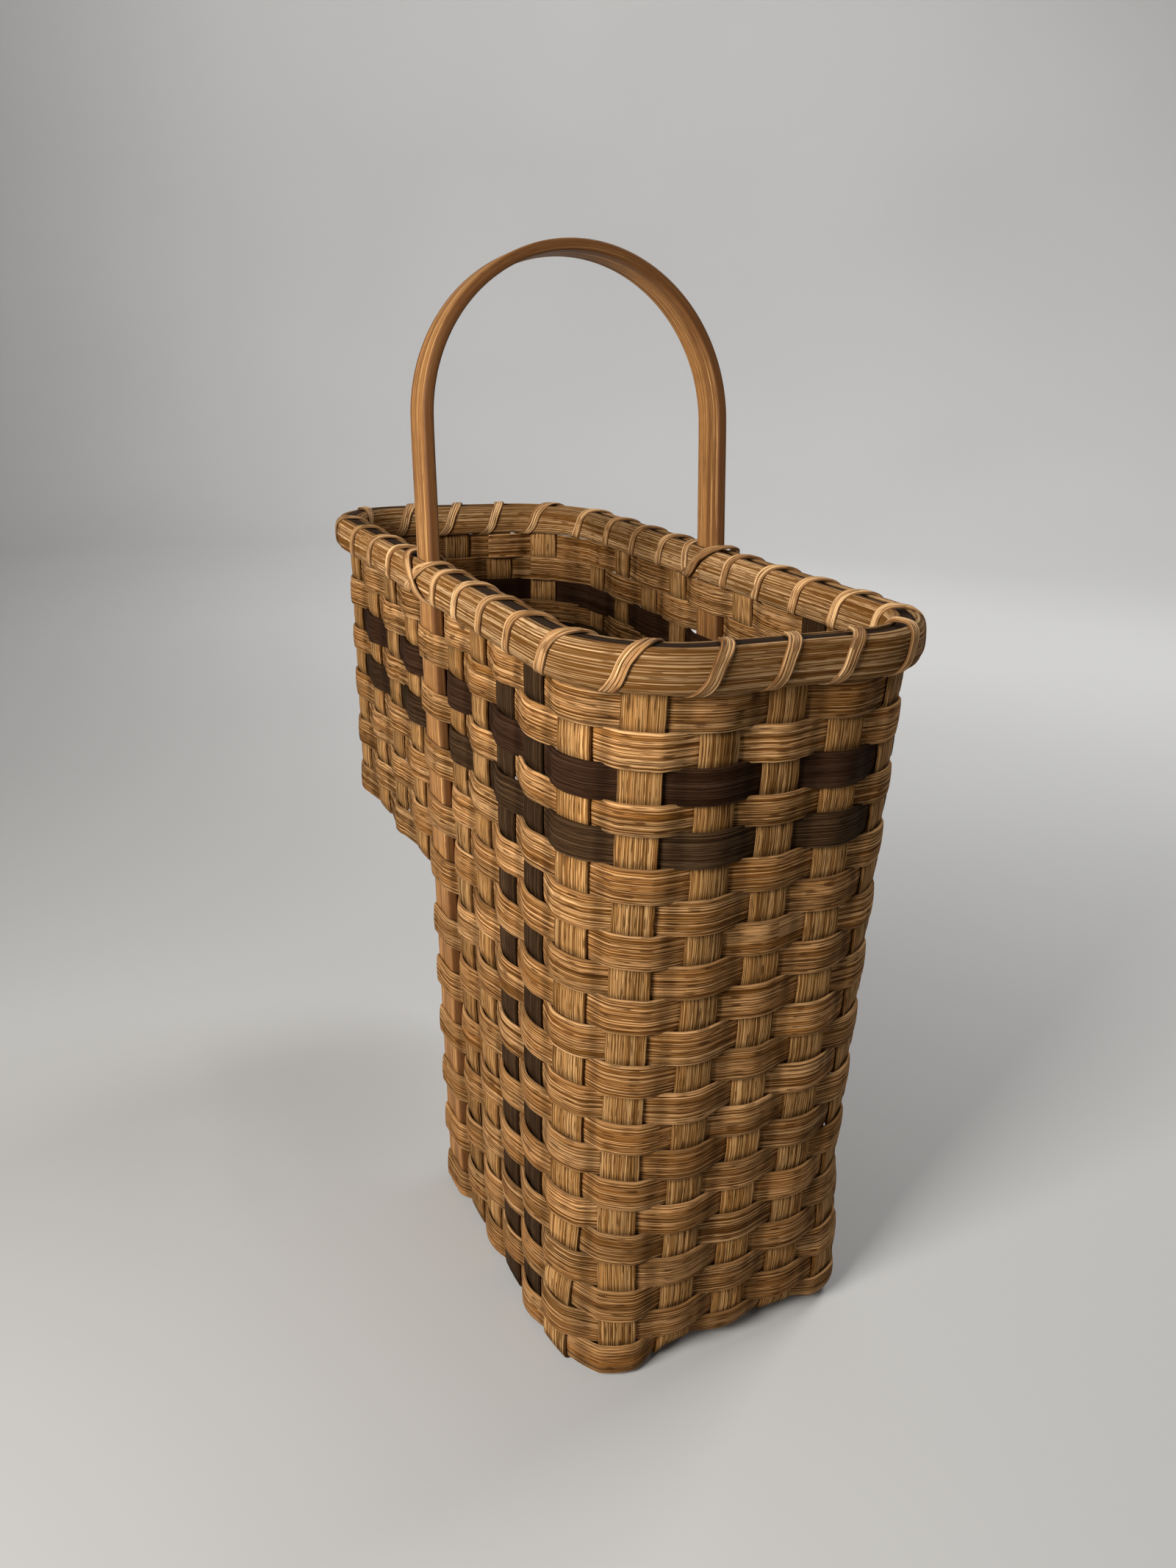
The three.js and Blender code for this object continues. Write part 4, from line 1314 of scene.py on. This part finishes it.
class StudioSettings(bpy.types.PropertyGroup):
    """Camera, floor and lamps."""

    camera: bpy.props.FloatVectorProperty(
        name="Camera", description="Place of the camera", default=(0.5933, -0.2876, 0.4902),
        subtype="TRANSLATION", unit="LENGTH", precision=4)
    yaw: bpy.props.FloatProperty(name="Yaw", description="Turn of the camera from the length",
                                 default=math.radians(26.68), subtype="ANGLE", unit="ROTATION")
    pitch: bpy.props.FloatProperty(name="Pitch", description="How far the camera looks down",
                                   default=math.radians(20.71), subtype="ANGLE", unit="ROTATION")
    roll: bpy.props.FloatProperty(name="Roll", description="Turn of the camera about its view",
                                  default=math.radians(2.25), subtype="ANGLE", unit="ROTATION")
    focal_share: bpy.props.FloatProperty(name="Focal length",
                                         description="Focal length over the picture's height",
                                         default=1579.7 / 2134)
    floor: colour_property("Floor", "Floor and backdrop", (0.475, 0.475, 0.470))
    key_power: bpy.props.FloatProperty(name="Key lamp", description="Power of the near lamp",
                                       default=16.5, unit="POWER")
    back_power: bpy.props.FloatProperty(name="Back lamp", description="Power of the lamp behind",
                                        default=42.0, unit="POWER")
    backdrop_power: bpy.props.FloatProperty(name="Backdrop lamp", default=36.0, unit="POWER",
                                            description="Power of the lamp on the backdrop")
    sky: bpy.props.FloatProperty(name="Sky", description="Strength of the light all round",
                                 default=0.12)


# Operators -----------------------------------------------------------------------------------


def workshop(context):
    """The sizes, the uprights that they give and the materials."""
    sizes = context.scene.basket_sizes
    return sizes, Ribs(sizes), existing_finishes(context.scene.basket_colours)


class WeaveStakes(bpy.types.Operator):
    """Makes the long stakes and the cross stakes of the leg and the shelf"""

    bl_idname = "basket.stakes"
    bl_label = "Set the stakes"

    def execute(self, context):
        sizes, ribs, finishes = workshop(context)
        for i in range(len(STEPS)):
            set_stake(f"long_stake_{i + 1}", long_stake_route(ribs, i, sizes),
                      GRAIN_START["long stake"] + i, "natural_reed", sizes, finishes)
        for stake in ribs.side:
            if stake["handle"]:
                continue
            index = stake["index"]
            node = (f"leg_cross_stake_{index + 1}" if index < LEG_STAKES
                    else f"shelf_cross_stake_{index - LEG_STAKES}")
            slot = "dyed_reed_brown" if index in DARK_STAKES else "natural_reed"
            set_stake(node, cross_stake_route(stake, sizes), GRAIN_START["cross stake"] + index,
                      slot, sizes, finishes)
        return {"FINISHED"}


class WeaveRows(bpy.types.Operator):
    """Makes the weavers, row by row"""

    bl_idname = "basket.rows"
    bl_label = "Weave the rows"

    def execute(self, context):
        sizes, ribs, finishes = workshop(context)
        for row in range(1, ROWS + 1):
            weave_row(ribs, row, sizes, finishes)
        weave_hidden_row(ribs, sizes, finishes)
        return {"FINISHED"}


class FitRim(bpy.types.Operator):
    """Makes the rim strips and the filler between them"""

    bl_idname = "basket.rim"
    bl_label = "Fit the rim"

    def execute(self, context):
        sizes, ribs, finishes = workshop(context)
        make_rims(ribs, sizes, finishes)
        make_fillers(sizes, finishes)
        return {"FINISHED"}


class LashRim(bpy.types.Operator):
    """Winds the lashing strand round the rim"""

    bl_idname = "basket.lashing"
    bl_label = "Lash the rim"

    def execute(self, context):
        sizes, ribs, finishes = workshop(context)
        make_lashing(ribs, sizes, finishes)
        return {"FINISHED"}


class BendHandle(bpy.types.Operator):
    """Makes the bent wooden handle"""

    bl_idname = "basket.handle"
    bl_label = "Bend the handle"

    def execute(self, context):
        sizes, _, finishes = workshop(context)
        make_handle(sizes, finishes)
        return {"FINISHED"}


class SetStage(bpy.types.Operator):
    """Makes the floor and backdrop, the lamps and the camera"""

    bl_idname = "basket.stage"
    bl_label = "Set the stage"

    def execute(self, context):
        studio = context.scene.basket_studio
        make_backdrop(studio)
        make_lamps(studio)
        make_camera(studio)
        context.scene.view_settings.view_transform = "Standard"
        return {"FINISHED"}


def make_backdrop(studio):
    """A round floor that curves up into a wall, with a painted pool of light that makes it a little
    paler on the left.
    """
    deselect()
    bpy.ops.mesh.primitive_circle_add(vertices=96, radius=FLOOR_RADIUS, fill_type="NGON")
    backdrop = bpy.context.object
    backdrop.name = "backdrop"
    bpy.ops.object.mode_set(mode="EDIT")
    bpy.ops.mesh.select_all(action="SELECT")
    bpy.ops.mesh.region_to_loop()
    radius, height = FLOOR_RADIUS, 0.0
    for i in range(1, COVE_STEPS + 2):
        angle = math.pi / 2 * min(i, COVE_STEPS) / COVE_STEPS
        next_radius = FLOOR_RADIUS + COVE_RADIUS * math.sin(angle)
        next_height = COVE_RADIUS * (1 - math.cos(angle)) + (WALL if i > COVE_STEPS else 0)
        grow = next_radius / radius
        bpy.ops.mesh.extrude_edges_move()
        bpy.ops.transform.resize(value=(grow, grow, 1), center_override=(0, 0, 0))
        bpy.ops.transform.translate(value=(0, 0, next_height - height))
        radius, height = next_radius, next_height
    bpy.ops.object.mode_set(mode="OBJECT")
    bpy.ops.object.shade_smooth()
    finish = Finish("plain backdrop")
    place = finish.node("ShaderNodeTexCoord", None, None, 3)
    cloud = finish.node("ShaderNodeTexNoise", None, {"Vector": place, "Scale": 1.6, "Detail": 1.0})
    side = finish.node("ShaderNodeSeparateXYZ", None, {"Vector": place}, 1)
    # Painted light: the floor and wall grow paler towards +y, under a faint cloud.
    tone = cloud.ramp(0.2, 0.8, 0.98, 1.02) * side.ramp(-0.8, 0.7, 0.77, 1.2)
    colour = finish.shaded(tuple(studio.floor), tone)
    backdrop.data.materials.append(finish.surface(colour, 0.85, cloud, 0.0, MM, 0.1))


def aim(place, target):
    """A matrix at a place that looks at a target."""
    back = unit(np.array(place) - np.array(target))
    side = unit(np.cross(UP, back))
    top = np.cross(back, side)
    turn = Matrix(np.stack([side, top, back], axis=1).tolist()).to_4x4()
    return Matrix.Translation(place) @ turn


def add_lamp(name, place, target, size, power, colour):
    """One soft square lamp that shines from a place to a target."""
    deselect()
    bpy.ops.object.light_add(type="AREA")
    lamp = bpy.context.object
    lamp.name = name
    lamp.matrix_world = aim(place, target)
    lamp.data.size = size
    lamp.data.energy = power
    lamp.data.color = colour


def make_lamps(studio):
    """A near lamp from the camera's left, one high on the far side and one for the backdrop."""
    basket, backdrop = (0.0, 0.0, 0.22), (-3.2, 1.6, 0.6)
    add_lamp("key lamp", (0.42, -0.88, 0.66), basket, 0.4, studio.key_power, (1.0, 0.97, 0.93))
    add_lamp("back lamp", (-0.50, 2.00, 2.40), basket, 1.0, studio.back_power, (1.0, 1.0, 1.0))
    add_lamp("backdrop lamp", (-1.0, 0.6, 2.3), backdrop, 1.6, studio.backdrop_power,
             (1.0, 0.99, 0.99))
    world = bpy.data.worlds.new("studio light")
    world.use_nodes = True
    sky = world.node_tree.nodes["Background"]
    sky.inputs["Color"].default_value = (1.0, 0.96, 0.91, 1.0)
    sky.inputs["Strength"].default_value = studio.sky
    bpy.context.scene.world = world


def make_camera(studio):
    """The camera at the photograph's place."""
    deselect()
    bpy.ops.object.camera_add()
    camera = bpy.context.object
    camera.name = "camera"
    yaw, pitch, roll = studio.yaw, studio.pitch, studio.roll
    ahead = np.array((-math.cos(yaw) * math.cos(pitch), math.sin(yaw) * math.cos(pitch),
                      -math.sin(pitch)))
    side = unit(np.cross(ahead, UP))
    top = np.cross(side, ahead)
    right = math.cos(roll) * side + math.sin(roll) * top
    above = -math.sin(roll) * side + math.cos(roll) * top
    turn = Matrix(np.stack([right, above, -ahead], axis=1).tolist()).to_4x4()
    camera.matrix_world = Matrix.Translation(studio.camera) @ turn
    camera.data.sensor_fit = "AUTO"
    camera.data.sensor_width = 36.0
    camera.data.lens = camera.data.sensor_width * studio.focal_share
    camera.data.clip_start = 0.01
    camera.data.clip_end = 50.0
    bpy.context.scene.camera = camera


class BasketPanel(bpy.types.Panel):
    """Lists the basket's steps and settings"""

    bl_idname = "VIEW3D_PT_basket"
    bl_label = "Stair basket"
    bl_space_type = "VIEW_3D"
    bl_region_type = "UI"
    bl_category = "Basket"

    def draw(self, context):
        for operator in OPERATORS:
            self.layout.operator(operator.bl_idname)
        for name, _ in SETTINGS:
            group = getattr(context.scene, name)
            column = self.layout.column(align=True)
            for key in group.bl_rna.properties.keys():
                if key not in ("rna_type", "name"):
                    column.prop(group, key)


OPERATORS = (WeaveStakes, WeaveRows, FitRim, LashRim, BendHandle, SetStage)
SETTINGS = (("basket_sizes", BasketSizes), ("basket_colours", BasketColours),
            ("basket_studio", StudioSettings))


def register():
    """Registers the settings, the operators and the panel."""
    for name, group in SETTINGS:
        bpy.utils.register_class(group)
        setattr(bpy.types.Scene, name, bpy.props.PointerProperty(type=group))
    for operator in OPERATORS:
        bpy.utils.register_class(operator)
    bpy.utils.register_class(BasketPanel)


def unregister():
    """Takes back what register did."""
    bpy.utils.unregister_class(BasketPanel)
    for operator in reversed(OPERATORS):
        bpy.utils.unregister_class(operator)
    for name, group in reversed(SETTINGS):
        delattr(bpy.types.Scene, name)
        bpy.utils.unregister_class(group)


def main():
    """Makes the whole scene."""
    register()
    bpy.ops.basket.stakes()
    bpy.ops.basket.rows()
    bpy.ops.basket.rim()
    bpy.ops.basket.lashing()
    bpy.ops.basket.handle()
    bpy.ops.basket.stage()


if __name__ == "__main__":
    main()
